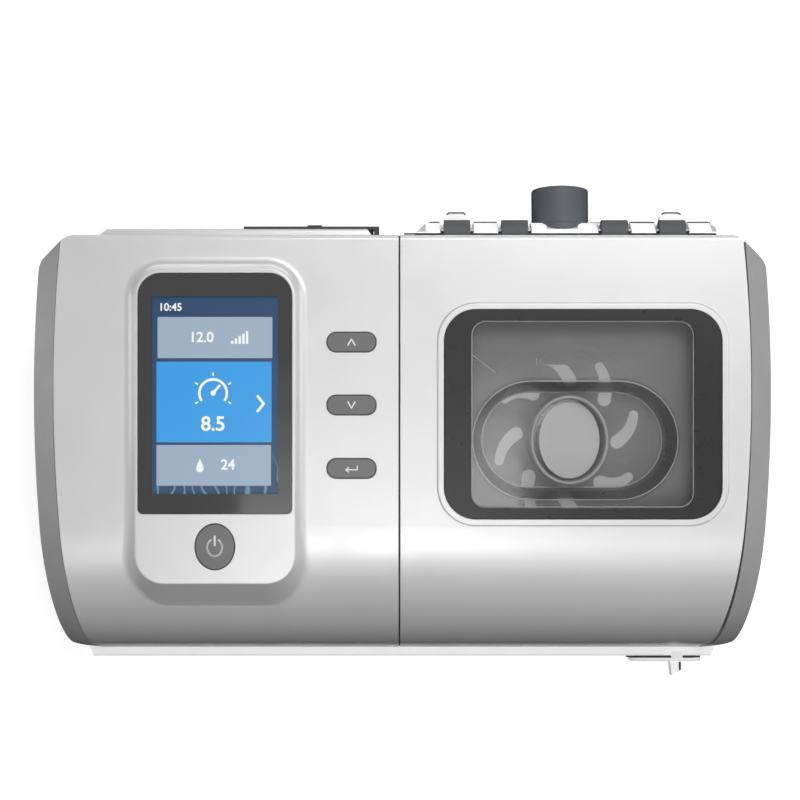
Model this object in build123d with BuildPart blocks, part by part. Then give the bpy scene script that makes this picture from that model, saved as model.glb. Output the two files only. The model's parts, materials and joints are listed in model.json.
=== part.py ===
from build123d import *
import os
from math import cos, radians, sin, sqrt, tan

# A bench-top breathing-therapy unit: a blower module on the left, with a raised display pad and
# three keys, and a heated water chamber on the right under a hinged lid with a window.
# Millimetres. X runs to the right, Y to the back and Z up. The origin is under the middle of
# the overall box, on the surface that the rubber feet stand on.

# ---------------------------------------------------------------- driving dimensions
# case
slope = 5.0               # degrees that the top face falls towards the user
face_y = 13.3             # a point on the top face, midway along the display
face_z = 90.0
face_back = 62.8          # length of the flat face behind that point, along the slope
face_front = 48.0         # length of the flat face in front of it, where the roll starts
roll_radius = 51.0        # the face rolls over into the front wall
front_lean = 6.0          # degrees that the front wall leans out towards its foot
half_width = 141.5
widest_y = 17.0           # the sides bow out most here
bow_radius = 620.0
end_bevel = 9.5           # grey end caps are bevelled all round by this much
cap_setback = 0.4         # the caps start this far outside the bevel's upper edge
back_edge_radius = 1.8
back_corner_width = 12.7     # the case's back corners are cut off at a slant
back_corner_depth = 9.2
back_corner_radius = 6.0
front_corner_width = 4.4     # the foot of the front wall is cut back slightly at its ends
front_corner_depth = 1.5
front_reach = 4.0            # that cut is drawn on past the foot by this much
wall = 2.4
gap = 0.3                 # clearance between pieces that move past each other
seam = 0.2                # joint line between fixed shells
split_x = -1.15           # parting line between the two modules
split_gap = 0.7

# base
foot_height = 1.5
base_top_z = 12.0
base_floor = 2.0
base_front_y = -87.3
base_inset = 2.5          # the plinth stays this far inside the case's widest point
base_front_cut = 10.0     # the plinth's straight front ends this far inside its side
base_corner = 9.0
base_back_corner = 13.0
base_hollow_cut = 6.0     # the hollow's back corners are cut off inside the plinth's
base_side_wall = 8.0
base_rim = 10.7           # depth of the solid rim along the front, which carries the lock
base_groove_depth = 6.0   # lightening groove under that rim
base_groove_length = 200.0
base_groove_x = -20.0
base_groove_y = 5.7       # middle of the groove, behind the front
foot_radius = 8.0
foot_thickness = 3.0
foot_inset = 31.0         # from the plinth's side to the middle of a foot
foot_y_back = 58.0
foot_y_front = -66.0
screw_shank = 1.5
screw_head = 2.9
screw_head_height = 2.0
post_size = 10.0
post_top_z = 22.0
post_side = 12.4          # from the end cap's joint line to the rear screw
post_bow = 3.0            # the front screw stands this much further in, where the side bows
post_split = 10.5         # from the blower module's right-hand wall to its inner screws
post_back = 8.86          # from the back wall to the rear screws
post_front = 13.3         # from the plinth's front to the front screws
post_bay = 12.0           # from the bay's left side to the chamber module's screws
post_bay_end = 8.0        # from the bay's front and back to its screws
post_foot_front = 24.0    # the chamber module's outer screws stand inside the feet
post_foot_back = 16.0
post_blend = 3.4          # the front screw blocks grow out of the front wall

# display pad
pad_x = -70.7
pad_v = -9.75
pad_width = 60.5
pad_length = 118.9
pad_corner = 10.9
pad_rise = 3.0
pad_root = 11.0           # how far the pad's solid reaches below the face before hollowing
pad_draft = 36.0          # degrees
pad_blend = 4.5
pad_edge = 1.0
glass_width = 58.1
glass_length = 90.7
glass_v = 2.45
glass_top_corner = 8.7
glass_low_corner = 1.9
glass_thickness = 1.0
lcd_width = 48.6
lcd_length = 75.2
lcd_v = 1.5
lcd_body_width = 53.0
lcd_body_length = 82.0
lcd_thickness = 2.2

# buttons
power_v = -55.3
power_width = 14.8
power_length = 17.1
power_proud = 0.5
key_x = -19.3
key_vs = {"up_button": 21.9, "down_button": -1.9, "enter_button": -25.9}
key_width = 18.4
key_length = 7.3
key_corner = 3.4
key_proud = 0.8
key_travel = 0.8
key_flange = 1.2
key_flange_thickness = 0.8
stem_radius = 1.6
board_depth = 8.0
board_thickness = 1.6
board_left = -107.0
board_right = -8.5
board_front = -62.0
board_back = 47.0
board_post_radius = 2.6
switch_size = 6.0

# blower
blower_x = -72.0
blower_y = 2.0
blower_axis_z = 47.0      # height of the air outlet
volute_radius = 41.0
volute_height = 22.0
volute_wall = 2.5
inlet_radius = 14.0
impeller_radius = 34.0
impeller_height = 13.0
impeller_blades = 11
hub_radius = 8.0
shaft_radius = 2.0
shaft_clearance = 0.05
motor_radius = 19.0
motor_height = 19.0
bearing_radius = 5.0
bearing_width = 4.0
mount_radius = 5.0
mount_circle = 30.0
duct_radius = 12.0
duct_bore = 8.0
foam_hole = 8.0
foam_depth = 23.16

# back panel of the blower module
panel_side = 15.4         # from the end cap's joint line to the panel
panel_split = 9.7         # from the blower module's right-hand wall to the panel
panel_depth = 3.5
panel_left_slant = 3.9    # the panel's ends slope back from the case
panel_right_slant = 2.3
panel_low_z = 14.0
panel_top_z = 88.0
filter_width = 44.9
filter_margin = 1.3       # flat rim of the panel right of the filter opening
filter_low_z = 28.0
filter_top_z = 83.0
filter_proud = 1.4
flange_left_lap = 1.4     # the door's flange laps the panel beside and over the opening
flange_right_lap = 3.5
flange_top_lap = 2.0
flange_foot = 2.2         # the flange starts this far over the hinge axis
catch_width = 1.9         # the door's catch reaches forward past the panel's right end
catch_height = 5.0
filter_cover_thickness = 2.4
filter_foam_thickness = 1.6
filter_tab_offset = 3.45  # right of the filter door's middle
filter_tab_width = 5.6
door_rod_radius = 2.0     # rolled lower edge of the filter door
hinge_rod_radius = 1.5
socket_inset = 19.0       # from the panel's left side to the socket and the card slot
socket_z = 26.0
socket_radius = 5.4
socket_bore = 3.2
socket_pin = 1.0
socket_length = 12.0
socket_flange = 7.0       # half width of the socket's flange
card_z = 54.0
card_width = 24.0
card_thickness = 2.1
card_length = 32.0
card_proud = 1.0

# lid of the water chamber and its hinge
lid_side_gap = 0.4
lid_bow_radius = 540.0
lid_low_gap = 0.5
window_share = 0.6205     # share of the lid's free width that lies left of the window
window_v = -5.4
frame_width = 105.2
frame_length = 79.4
frame_corner = 12.1
frame_flange = 3.0
frame_side_flange = 0.3
seal_clearance = 0.4      # between the window frame's flange and the lid's seal
seal_thickness = 0.9
frame_sink = 0.3
view_width = 84.8
view_length = 71.2
view_corner = 5.7
pane_lap = 3.0
pane_thickness = 2.0
lip_width = 2.6
lip_rise = 0.9
rib_depth = 8.0
hinge_behind = 2.44       # the hinge axis lies this far behind the case's back wall
hinge_z = 89.6
knuckle_radius = 4.0
knuckle_width = 10.0
knuckle_slot = 1.3
knuckle_inner = 19.0      # from the ledge's middle to the inner hinge blocks
knuckle_end = 16.75       # from the ledge's ends to the outer hinge blocks
pin_radius = 0.9
pin_clearance = 0.05
pin_hold = 3.0
leaf_front_y = 65.5

# chamber bay, rear case and outlet
bay_left = 2.0
bay_front = -74.0
bay_rear_gap = 0.5        # between the bay and the rear case
bay_floor_z = 20.0
bay_top_gap = 1.3
bay_side_gap = 0.4        # between the bay and the end cap
ledge_left = 4.0
ledge_side = 12.9         # from the end cap's joint line to the ledge
ledge_depth = 5.74        # the ledge stands this far behind the case's back wall
ledge_flat_depth = 1.44
ledge_top_z = 92.7
ledge_drop = 5.1
ledge_lap = 2.6           # the rear case's wall stops this far under the ledge's top
rear_inset = 3.36         # the rear case starts this far in front of the back wall
catch_shift = 1.2         # the right-hand catch stands this far right of its hinge block
rear_side = 4.0           # from the end cap's joint line to the rear case's wall
outlet_offset = 0.75      # the hose tube stands this far left of the ledge's middle
outlet_z = 80.0
outlet_radius = 11.0
outlet_bore = 9.2
outlet_length = 14.0
manifold_half = 12.0      # half width of the passage behind the hose tube
manifold_wall = 2.0
collar_drop = 14.0        # a lug under the hose tube keeps it from turning
spout_z = 68.0
spout_bore = 7.0

# heater
heater_offset = 3.3       # the heater stands this far left of the window's middle
heater_y = 1.0
heater_radius = 40.0
heater_rise = 2.0
heater_flange = 3.5
spring_circle = 34.0
spring_radius = 4.0

# water chamber
tank_gap_left = 1.6       # clearances in the bay
tank_gap_right = 2.8
tank_gap_front = 5.0
tank_gap_back = 5.6
tank_inset = 12.0         # depth of the chamber's roof under the lid's outer face
tank_wall = 2.0
tank_split_z = 56.0
tank_seal_height = 1.5
tank_plate_thickness = 1.6
tank_corner = 4.0
tank_post_radius = 3.0
tank_post_inset = 10.0
tank_post_front = 13.0
well_offset = 1.7         # the well lies this far left of the window's middle
well_v = -15.6
well_width = 78.8
well_length = 45.4
well_depth = 14.0
well_taper = 16.0         # degrees
port_offset = 1.5         # the port stands this far left of the well's middle
port_width = 27.4         # the port is slightly oval
port_length = 31.6
port_wall = 2.0
port_above = 6.0
port_below = 8.0
baffle_z = 40.0
baffle_thickness = 1.6
baffle_gap = 0.4
baffle_front_gap = 2.4
swirl_slots = 8
swirl_squash = 0.86
swirl_start = -4.0        # degrees, where the first slot's wide end lies
swirl_path = ((23.8, 0.0, 2.9), (29.4, 10.0, 2.5), (33.1, 20.3, 2.0))   # radius, turn, half width

# lock
lock_inset = 18.6         # from the end of the plinth's straight front to the lock's middle
lock_width = 30.2
lock_height = 9.0
lock_thickness = 2.3
lock_mid_z = 6.9
lock_travel = 12.0
lock_slot_half = 2.2      # half height of the slot that the slider runs in
pocket_wall = 2.5         # plinth wall in front of the pocket behind the lock
pocket_roof = 2.0
pocket_margin = 4.0       # the pocket ends this far inside the bezel's left end
pocket_gap = 1.5          # free space right of the tab
clip_thickness = 0.8
stem_half = 1.8
tab_offset = 4.5          # the tab stands this far right of the lock's middle when open
tab_width = 4.9
tab_height = 6.0
tab_front_y = -95.6
hook_top_z = 18.0
finger_height = 2.0
finger_front_y = -80.0    # the hook's finger, which slides over the lid's striker
finger_back_y = -78.5
stem_back_y = -76.8
striker_offset = 7.9      # the striker's middle lies this far left of the lock's middle
striker_width = 9.0
striker_height = 1.6

big = 400.0

# ---------------------------------------------------------------- derived values
slope_cos = cos(radians(slope))
slope_sin = sin(radians(slope))
back_y = face_y + face_back * slope_cos
roll_end_y = face_y - face_front * slope_cos - roll_radius * (cos(radians(front_lean)) - slope_sin)
roll_end_z = face_z - face_front * slope_sin - roll_radius * (slope_cos - sin(radians(front_lean)))
foot_y = roll_end_y - (roll_end_z - base_top_z) * tan(radians(front_lean))
seam_half = half_width - end_bevel + cap_setback
cover_right = split_x - split_gap / 2
lid_left = split_x + split_gap / 2
base_half_width = half_width - base_inset
base_half_front = base_half_width - base_front_cut
base_hollow_y = base_front_y + base_rim
foot_x = base_half_width - foot_inset
panel_left = -(seam_half - panel_side)
panel_right = cover_right - panel_split
panel_back_y = back_y + panel_depth
filter_right = panel_right - panel_right_slant - filter_margin
filter_left = filter_right - filter_width
filter_tab_x = (filter_left + filter_right) / 2 + filter_tab_offset
socket_x = panel_left + socket_inset
card_x = socket_x
lip_half = frame_width / 2 + lip_width
lid_free = seam_half - lid_side_gap - lid_left - 2 * lip_half
window_x = lid_left + lip_half + window_share * lid_free
rear_front_y = back_y - rear_inset
bay_back = rear_front_y - bay_rear_gap
bay_right = window_x + frame_width / 2 + frame_side_flange + seal_clearance + wall
ledge_right = seam_half - ledge_side
ledge_mid_x = (ledge_left + ledge_right) / 2
ledge_back_y = back_y + ledge_depth
ledge_flat_y = back_y + ledge_flat_depth
hinge_y = back_y + hinge_behind
knuckle_outer = (ledge_right - ledge_left) / 2 - knuckle_end
knuckle_offsets = (-knuckle_outer, -knuckle_inner, knuckle_inner, knuckle_outer)
outlet_x = ledge_mid_x - outlet_offset
outlet_end_y = ledge_back_y + outlet_length
heater_x = window_x - heater_offset
well_x = window_x - well_offset
port_x = well_x - port_offset
tank_left = bay_left + wall + tank_gap_left
tank_right = bay_right - wall - tank_gap_right
tank_front = bay_front + tank_gap_front
tank_back = bay_back - wall - tank_gap_back
lock_x = base_half_front - lock_inset
tab_x = lock_x + tab_offset
tab_left = tab_x - tab_width / 2
tab_right = tab_x + tab_width / 2
striker_x = lock_x - striker_offset
volute_low_z = blower_axis_z - volute_height / 2
volute_top_z = blower_axis_z + volute_height / 2
outlet_y = blower_y + 26.0          # the outlet leaves the volute at a tangent
mount_height = 6.0
mount_low_z = volute_low_z - mount_height
bay_floor_top = bay_floor_z + wall
heater_top_z = bay_floor_top + heater_rise
heater_low_z = bay_floor_z - gap - base_floor
tank_low_z = heater_top_z + gap
tank_floor_z = tank_low_z + tank_plate_thickness
lid_low_z = tank_split_z + tank_seal_height


def face_point(v, depth=0.0):
    """A point in the YZ plane: v up the sloping face, depth below it."""
    return (face_y + v * slope_cos + depth * slope_sin, face_z + v * slope_sin - depth * slope_cos)


def face_plane(depth=0.0, x=0.0, v=0.0):
    """A plane parallel to the top face, whose local axes run along X and up the slope."""
    y, z = face_point(v, depth)
    return Plane(origin=(x, y, z), x_dir=(1, 0, 0), z_dir=(0, -slope_sin, slope_cos))


def case_form(inset, floor_z, back, bevel):
    """The closed outer form of the case, shrunk by inset, from floor_z up."""
    start = face_point(-face_front, inset)
    turn = 90 - slope - front_lean
    with BuildPart() as form:
        with BuildSketch(Plane.YZ) as profile:
            with BuildLine():
                roll = JernArc(start, (-slope_cos, -slope_sin), roll_radius - inset, turn)
                low = roll @ 1
                foot = (low.X - (low.Y - floor_z) * tan(radians(front_lean)), floor_z)
                top_back = (back, start[1] + (back - start[0]) * tan(radians(slope)))
                Polyline(roll @ 1, foot, (back, floor_z), top_back, start)
            make_face()
            if bevel > 0 and inset == 0:
                fillet(profile.vertices().sort_by(lambda v: v.X + v.Y)[-1], back_edge_radius)
        extrude(amount=half_width + 5, both=True)
        if bevel > 0:
            add(plan_prism(inset), mode=Mode.INTERSECT)
        else:
            add(bowed_prism(half_width - inset, bow_radius - inset), mode=Mode.INTERSECT)
    if bevel > 0:
        return bevel_ends(form.part, inset + bevel, bevel)
    return form.part


def bevel_ends(form, inset, bevel):
    """Outside the inset line the form's surface falls at 45 degrees towards its two ends."""
    core = form & bowed_prism(half_width - inset, bow_radius - inset)
    ends = core.faces().filter_by(GeomType.CYLINDER).sort_by(Axis.X)
    reach = bevel + 2
    left = Solid.extrude(ends[0], Vector(-reach, 0, -reach))
    right = Solid.extrude(ends[-1], Vector(reach, 0, -reach))
    return (core + left + right) & form


def side_x(y):
    """Half the width of the case at a distance along it."""
    return half_width - bow_radius + sqrt(bow_radius**2 - (y - widest_y)**2)


def plan_prism(inset):
    """A tall prism on the case's plan: bowed sides, slanted back corners, cut front corners."""
    back_x = side_x(back_y) - back_corner_width
    back_side_y = back_y - back_corner_depth
    front_x = side_x(foot_y) - front_corner_width
    front_side_y = foot_y + front_corner_depth
    slant = front_corner_width / front_corner_depth
    with BuildPart() as prism:
        with BuildSketch(Plane.XY.offset(-20)) as plan:
            with BuildLine():
                side = ThreePointArc((side_x(front_side_y), front_side_y), (half_width, widest_y),
                                     (side_x(back_side_y), back_side_y))
                Polyline(side @ 1, (back_x, back_y), (0, back_y))
                Polyline(side @ 0, (front_x - slant * front_reach, foot_y - front_reach),
                         (0, foot_y - front_reach), (0, back_y))
            make_face()
            fillet([v for v in plan.vertices() if v.X > 1 and v.Y > 0], back_corner_radius)
            mirror(about=Plane.YZ)
            if inset > 0:
                offset(amount=-inset, kind=Kind.INTERSECTION, mode=Mode.REPLACE)
        extrude(amount=160)
    return prism.part


def bowed_prism(half, radius):
    """A tall prism whose two sides bow out by the given radius, half wide at widest_y."""
    reach = 160.0
    sag = radius - sqrt(radius**2 - reach**2)
    near = widest_y - reach
    far = widest_y + reach
    with BuildPart() as prism:
        with BuildSketch(Plane.XY.offset(-20)):
            with BuildLine():
                right = ThreePointArc((half - sag, near), (half, widest_y), (half - sag, far))
                left = ThreePointArc((sag - half, far), (-half, widest_y), (sag - half, near))
                Line(right @ 1, left @ 0)
                Line(left @ 1, right @ 0)
            make_face()
        extrude(amount=160)
    return prism.part


def block(x0, x1, y0, y1, z0, z1):
    """A free box between two corners, for use with add()."""
    with BuildPart() as piece:
        with BuildSketch(Plane.XY.offset(z0)):
            with Locations(((x0 + x1) / 2, (y0 + y1) / 2)):
                Rectangle(x1 - x0, y1 - y0)
        extrude(amount=z1 - z0)
    return piece.part


def rod(radius, start, direction, length):
    """A free cylinder from a start point along a direction, for use with add()."""
    with BuildPart() as piece:
        with BuildSketch(Plane(origin=start, z_dir=direction)):
            Circle(radius)
        extrude(amount=length)
    return piece.part


def finish(piece, name):
    """Labels a finished piece and writes it to its own file."""
    piece.part.label = name
    export_step(piece.part, "parts/" + name + ".step")


os.makedirs("parts", exist_ok=True)

inner_bevel = end_bevel - wall * (2 - sqrt(2))
inner_form = case_form(wall, base_top_z - 5, back_y - wall, inner_bevel)
open_form = case_form(wall, base_top_z - 5, back_y + 20, 0)
shell_zone = bowed_prism(seam_half - seam, bow_radius - end_bevel)
cap_zone = bowed_prism(seam_half, bow_radius - end_bevel)
cap_wall_zone = bowed_prism(seam_half + wall, bow_radius - end_bevel)
lid_zone = bowed_prism(seam_half - lid_side_gap, lid_bow_radius)
bay_zone = bowed_prism(seam_half - bay_side_gap, bow_radius - end_bevel)
bay_inner_zone = bowed_prism(seam_half - bay_side_gap - wall, bow_radius - end_bevel)
tank_zone = bowed_prism(seam_half - bay_side_gap - wall - tank_gap_left, bow_radius - end_bevel)
tank_inner_zone = bowed_prism(seam_half - bay_side_gap - wall - tank_gap_left - tank_wall,
                              bow_radius - end_bevel)


def face_points(edge):
    """Points along an edge, in the top face's own frame."""
    return [face_plane().to_local_coords(edge.position_at(step / 4)) for step in range(5)]


def pad_foot_edges(piece):
    """The edges where the pad's sides run into the top face and the roll-over."""
    reach = pad_root
    return [
        edge for edge in piece.edges()
        if max(q.Z for q in face_points(edge)) < 0.01
        and all(abs(q.X - pad_x) < pad_width / 2 + reach for q in face_points(edge))
        and all(abs(q.Y - pad_v) < pad_length / 2 + reach for q in face_points(edge))
    ]


outer_form = case_form(0, base_top_z, back_y, end_bevel)

# ---------------------------------------------------------------- base
left_posts = [
    (-(seam_half - post_side), back_y - post_back),
    (-(seam_half - post_side - post_bow), base_front_y + post_front),
    (cover_right - post_split, back_y - post_back),
    (cover_right - post_split, base_front_y + post_front),
]
right_posts = [
    (bay_left + post_bay, bay_front + post_bay_end),
    (foot_x - post_foot_front, bay_front + post_bay_end),
    (bay_left + post_bay, bay_back - post_bay_end),
    (foot_x - post_foot_back, bay_back - post_bay_end),
]
post_places = left_posts + right_posts
foot_places = [
    (-foot_x, foot_y_back),
    (foot_x, foot_y_back),
    (-foot_x, foot_y_front),
    (foot_x, foot_y_front),
]


def base_outline(inset):
    """Half of the plinth's plan is mirrored: straight front, cut corners and bowed sides."""
    front = base_front_y + inset
    rear = back_y - inset
    half_front = base_half_front - inset * 0.4
    half = base_half_width - inset
    with BuildSketch(Plane.XY.offset(foot_height)) as outline:
        with BuildLine():
            side = ThreePointArc(
                (half - 6.0, front + base_corner), (half, widest_y), (half - 2.5, rear - base_corner)
            )
            Polyline(side @ 1, (half - base_back_corner, rear), (0, rear))
            Polyline(side @ 0, (half_front, front), (0, front), (0, rear))
        make_face()
        mirror(about=Plane.YZ)
    return outline.sketch


pocket_left = lock_x - lock_width / 2 + pocket_margin
pocket_right = tab_right + pocket_gap
with BuildPart() as base_tray:
    add(base_outline(0))
    extrude(amount=base_top_z - foot_height)
    fillet(base_tray.edges().filter_by(Axis.X).sort_by(Axis.Y)[0:2].sort_by(Axis.Z)[-1], 1.2)
    # the hollow stops behind a deep front rim that carries the lock
    tray_side = base_half_width - base_side_wall
    tray_hollow = block(-tray_side, tray_side, base_hollow_y, back_y - wall,
                        foot_height + base_floor, base_top_z + 1)
    hollow_corners = tray_hollow.edges().filter_by(Axis.Z).sort_by(Axis.Y)[-2:]
    add(tray_hollow.chamfer(base_hollow_cut, None, hollow_corners), mode=Mode.SUBTRACT)
    # long lightening pocket under the front rim, open below
    with BuildSketch(Plane.XY.offset(foot_height)):
        with Locations((base_groove_x, base_front_y + base_groove_y)):
            Rectangle(base_groove_length, base_groove_depth)
    extrude(amount=base_top_z - foot_height - wall, mode=Mode.SUBTRACT)
    # lock pocket: a chamber inside the rim, and a slot through the front
    pocket_front_y = base_front_y + pocket_wall
    pocket_low_z = lock_mid_z - lock_slot_half - 0.4
    pocket_back_y = base_hollow_y + 0.6
    add(block(pocket_left, pocket_right, pocket_front_y, pocket_back_y, pocket_low_z,
              base_top_z - pocket_roof), mode=Mode.SUBTRACT)
    add(block(pocket_left, pocket_right, finger_front_y - 0.2, pocket_back_y, pocket_low_z,
              base_top_z + 1), mode=Mode.SUBTRACT)
    add(block(pocket_left, pocket_right, base_front_y - 1, pocket_front_y + 0.8,
              lock_mid_z - lock_slot_half, lock_mid_z + lock_slot_half), mode=Mode.SUBTRACT)
    # posts that carry the blower on its rubber mounts
    with BuildSketch(Plane.XY.offset(foot_height + base_floor - 0.1)):
        with Locations((blower_x, blower_y)):
            with PolarLocations(mount_circle, 3, start_angle=30):
                Circle(mount_radius)
    extrude(amount=mount_low_z - foot_height - base_floor + 0.1)
    # screw bosses
    with BuildSketch(Plane.XY.offset(foot_height + base_floor - 0.1)):
        with Locations(*post_places):
            Circle(screw_head + 2)
    extrude(amount=base_top_z - foot_height - base_floor + 0.1)
    with BuildSketch(Plane.XY.offset(foot_height)):
        with Locations(*post_places):
            Circle(screw_shank + 0.1)
    extrude(amount=base_top_z, mode=Mode.SUBTRACT)
    with BuildSketch(Plane.XY.offset(foot_height)):
        with Locations(*post_places):
            Circle(screw_head + 0.2)
    extrude(amount=screw_head_height + 0.5, mode=Mode.SUBTRACT)
    # foot recesses
    with BuildSketch(Plane.XY.offset(foot_height)):
        with Locations(*foot_places):
            Circle(foot_radius)
    extrude(amount=foot_thickness - foot_height, mode=Mode.SUBTRACT)
finish(base_tray, "base_tray")

with BuildPart() as rubber_feet:
    with BuildSketch(Plane.XY):
        with Locations(*foot_places):
            Circle(foot_radius - 0.1)
    extrude(amount=foot_thickness)
    fillet(rubber_feet.edges().group_by(Axis.Z)[0], 0.6)
finish(rubber_feet, "rubber_feet")

with BuildPart() as base_screws:
    with BuildSketch(Plane.XY.offset(foot_height + 0.4)):
        with Locations(*post_places):
            Circle(screw_head)
    extrude(amount=screw_head_height)
    with BuildSketch(Plane.XY.offset(foot_height + 0.4 + screw_head_height)):
        with Locations(*post_places):
            Circle(screw_shank)
    extrude(amount=base_top_z + 6.0 - foot_height - screw_head_height)
    with BuildSketch(Plane.XY.offset(foot_height + 0.4)):
        with Locations(*post_places):
            RegularPolygon(1.2, 6)
    extrude(amount=1.2, mode=Mode.SUBTRACT)
finish(base_screws, "base_screws")

# ---------------------------------------------------------------- covers

def glass_outline(grow, depth):
    """The display glass: large corners at the top, small ones at the bottom."""
    with BuildSketch(face_plane(depth, pad_x, glass_v)) as outline:
        Rectangle(glass_width + 2 * grow, glass_length + 2 * grow)
        high = outline.vertices().sort_by(lambda v: v.Y)[2:]
        fillet(high, glass_top_corner + grow)
        low = outline.vertices().sort_by(lambda v: v.Y)[:2]
        fillet(low, glass_low_corner + grow)
    return outline.sketch


board_posts = [
    (board_left + 3.0, board_back - 4.0),
    (board_left + 3.0, board_front + 6.0),
    (board_right - 4.0, board_back - 4.0),
    (board_right - 4.0, board_front + 6.0),
]

with BuildPart() as main_cover:
    add(outer_form)
    add(shell_zone, mode=Mode.INTERSECT)
    add(block(-big, cover_right, -big, big, -big, big), mode=Mode.INTERSECT)
    with BuildSketch(face_plane(-pad_rise, pad_x, pad_v)):
        RectangleRounded(pad_width, pad_length, pad_corner)
    extrude(amount=-(pad_rise + pad_root), taper=-pad_draft)
    fillet(pad_foot_edges(main_cover), pad_blend)
    fillet([e for e in main_cover.edges() if min(q.Z for q in face_points(e)) > pad_rise - 0.01],
           pad_edge)
    # hollow the shell from below, leaving the right-hand wall, and open it under the pad
    add(inner_form & block(-big, cover_right - wall, -big, big, -big, big), mode=Mode.SUBTRACT)
    with BuildSketch(face_plane(wall - pad_rise, pad_x, pad_v)):
        RectangleRounded(pad_width - 2 * wall, pad_length - 2 * wall, pad_corner - wall)
    extrude(amount=-(pad_rise + pad_root), mode=Mode.SUBTRACT)
    # glass recess and the opening behind it
    extrude(glass_outline(0.15, -pad_rise - 1), amount=-(glass_thickness + 1), mode=Mode.SUBTRACT)
    with BuildSketch(face_plane(-pad_rise, pad_x, lcd_v)):
        Rectangle(lcd_width, lcd_length)
    extrude(amount=-(wall + 1), mode=Mode.SUBTRACT)
    # button holes
    with BuildSketch(face_plane(-pad_rise, pad_x, power_v)):
        Ellipse(power_width / 2 + gap, power_length / 2 + gap)
    extrude(amount=-(wall + 1), mode=Mode.SUBTRACT)
    for v in key_vs.values():
        with BuildSketch(face_plane(-1, key_x, v)):
            RectangleRounded(key_width + 2 * gap, key_length + 2 * gap, key_corner + gap)
        extrude(amount=-(wall + 2), mode=Mode.SUBTRACT)
    # posts for the control board
    with BuildSketch(face_plane(board_depth)):
        with Locations(*board_posts):
            Circle(board_post_radius)
    extrude(amount=board_depth - wall + 0.3)
    # corner blocks that the base screws bite into
    for x, y in left_posts:
        near = y - post_size / 2 if y > 0 else y - post_front + pocket_wall + post_blend
        far = back_y - wall + 0.3 if y > 0 else y + post_size / 2
        add(block(x - post_size / 2, x + post_size / 2, near, far, base_top_z, post_top_z))
    with BuildSketch(Plane.XY.offset(base_top_z)):
        with Locations(*left_posts):
            Circle(screw_shank + 0.1)
    extrude(amount=post_top_z - base_top_z - 1.5, mode=Mode.SUBTRACT)
    # air duct through the right-hand wall
    add(rod(duct_radius + gap, (cover_right - 3 * wall, outlet_y, blower_axis_z), (1, 0, 0),
            6 * wall), mode=Mode.SUBTRACT)
    # openings in the back wall: filter, power socket and memory card
    add(block(filter_left + 5, filter_right - 5, back_y - 2 * wall, back_y + 1,
              filter_low_z + 6, filter_top_z - 4), mode=Mode.SUBTRACT)
    add(rod(socket_radius + 0.2, (socket_x, back_y - 2 * wall, socket_z), (0, 1, 0), 3 * wall),
        mode=Mode.SUBTRACT)
    add(block(card_x - card_width / 2 - 0.4, card_x + card_width / 2 + 0.4,
              back_y - 2 * wall, back_y + 1,
              card_z - card_thickness / 2 - 0.4, card_z + card_thickness / 2 + 0.4),
        mode=Mode.SUBTRACT)
finish(main_cover, "main_cover")

with BuildPart() as right_end_cap:
    add(outer_form)
    add(cap_zone, mode=Mode.SUBTRACT)
    add(block(0, big, -big, big, -big, big), mode=Mode.INTERSECT)
    add(inner_form - cap_wall_zone, mode=Mode.SUBTRACT)
finish(right_end_cap, "right_end_cap")

with BuildPart() as left_end_cap:
    add(right_end_cap.part.mirror(Plane.YZ))
finish(left_end_cap, "left_end_cap")

# ---------------------------------------------------------------- display and buttons
with BuildPart() as display_glass:
    extrude(glass_outline(0, -pad_rise + glass_thickness), amount=glass_thickness)
finish(display_glass, "display_glass")

with BuildPart() as lcd_panel:
    with BuildSketch(face_plane(wall - pad_rise + lcd_thickness, pad_x, lcd_v)):
        RectangleRounded(lcd_body_width, lcd_body_length, 1.0)
    extrude(amount=lcd_thickness)
finish(lcd_panel, "lcd_panel")

button_floor = board_depth - key_travel - 0.2
button_nodes = dict(key_vs, power_button=power_v)
for name, v in button_nodes.items():
    is_power = name == "power_button"
    x = pad_x if is_power else key_x
    top = -pad_rise - power_proud if is_power else -key_proud
    shell_under = wall - pad_rise if is_power else wall
    with BuildPart() as button:
        with BuildSketch(face_plane(shell_under + gap + key_flange_thickness, x, v)):
            if is_power:
                Ellipse(power_width / 2, power_length / 2)
            else:
                RectangleRounded(key_width, key_length, key_corner)
        extrude(amount=shell_under + gap + key_flange_thickness - top)
        crown = [e for e in button.edges() if min(q.Z for q in face_points(e)) > -top - 0.01]
        fillet(crown, 0.45)
        with BuildSketch(face_plane(shell_under + gap + key_flange_thickness, x, v)):
            if is_power:
                Ellipse(power_width / 2 + key_flange, power_length / 2 + key_flange)
            else:
                RectangleRounded(key_width + 2 * key_flange, key_length + 2 * key_flange,
                                 key_corner + key_flange)
        extrude(amount=key_flange_thickness)
        with BuildSketch(face_plane(button_floor - board_thickness - 0.3, x, v)):
            Circle(stem_radius)
        extrude(amount=button_floor - board_thickness - 0.3 - shell_under - gap)
    finish(button, name)

with BuildPart() as control_board:
    with BuildSketch(face_plane(board_depth + board_thickness)):
        with Locations(((board_left + board_right) / 2, (board_front + board_back) / 2)):
            RectangleRounded(board_right - board_left, board_back - board_front, 2.0)
    extrude(amount=board_thickness)
finish(control_board, "control_board")

switch_height = board_depth - (button_floor - board_thickness - 0.3) - key_travel - 0.2
with BuildPart() as key_switches:
    for name, v in button_nodes.items():
        x = pad_x if name == "power_button" else key_x
        with BuildSketch(face_plane(board_depth, x, v)):
            Rectangle(switch_size, switch_size)
        extrude(amount=switch_height * 0.6)
        with BuildSketch(face_plane(board_depth, x, v)):
            Circle(stem_radius)
        extrude(amount=switch_height)
finish(key_switches, "key_switches")

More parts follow.
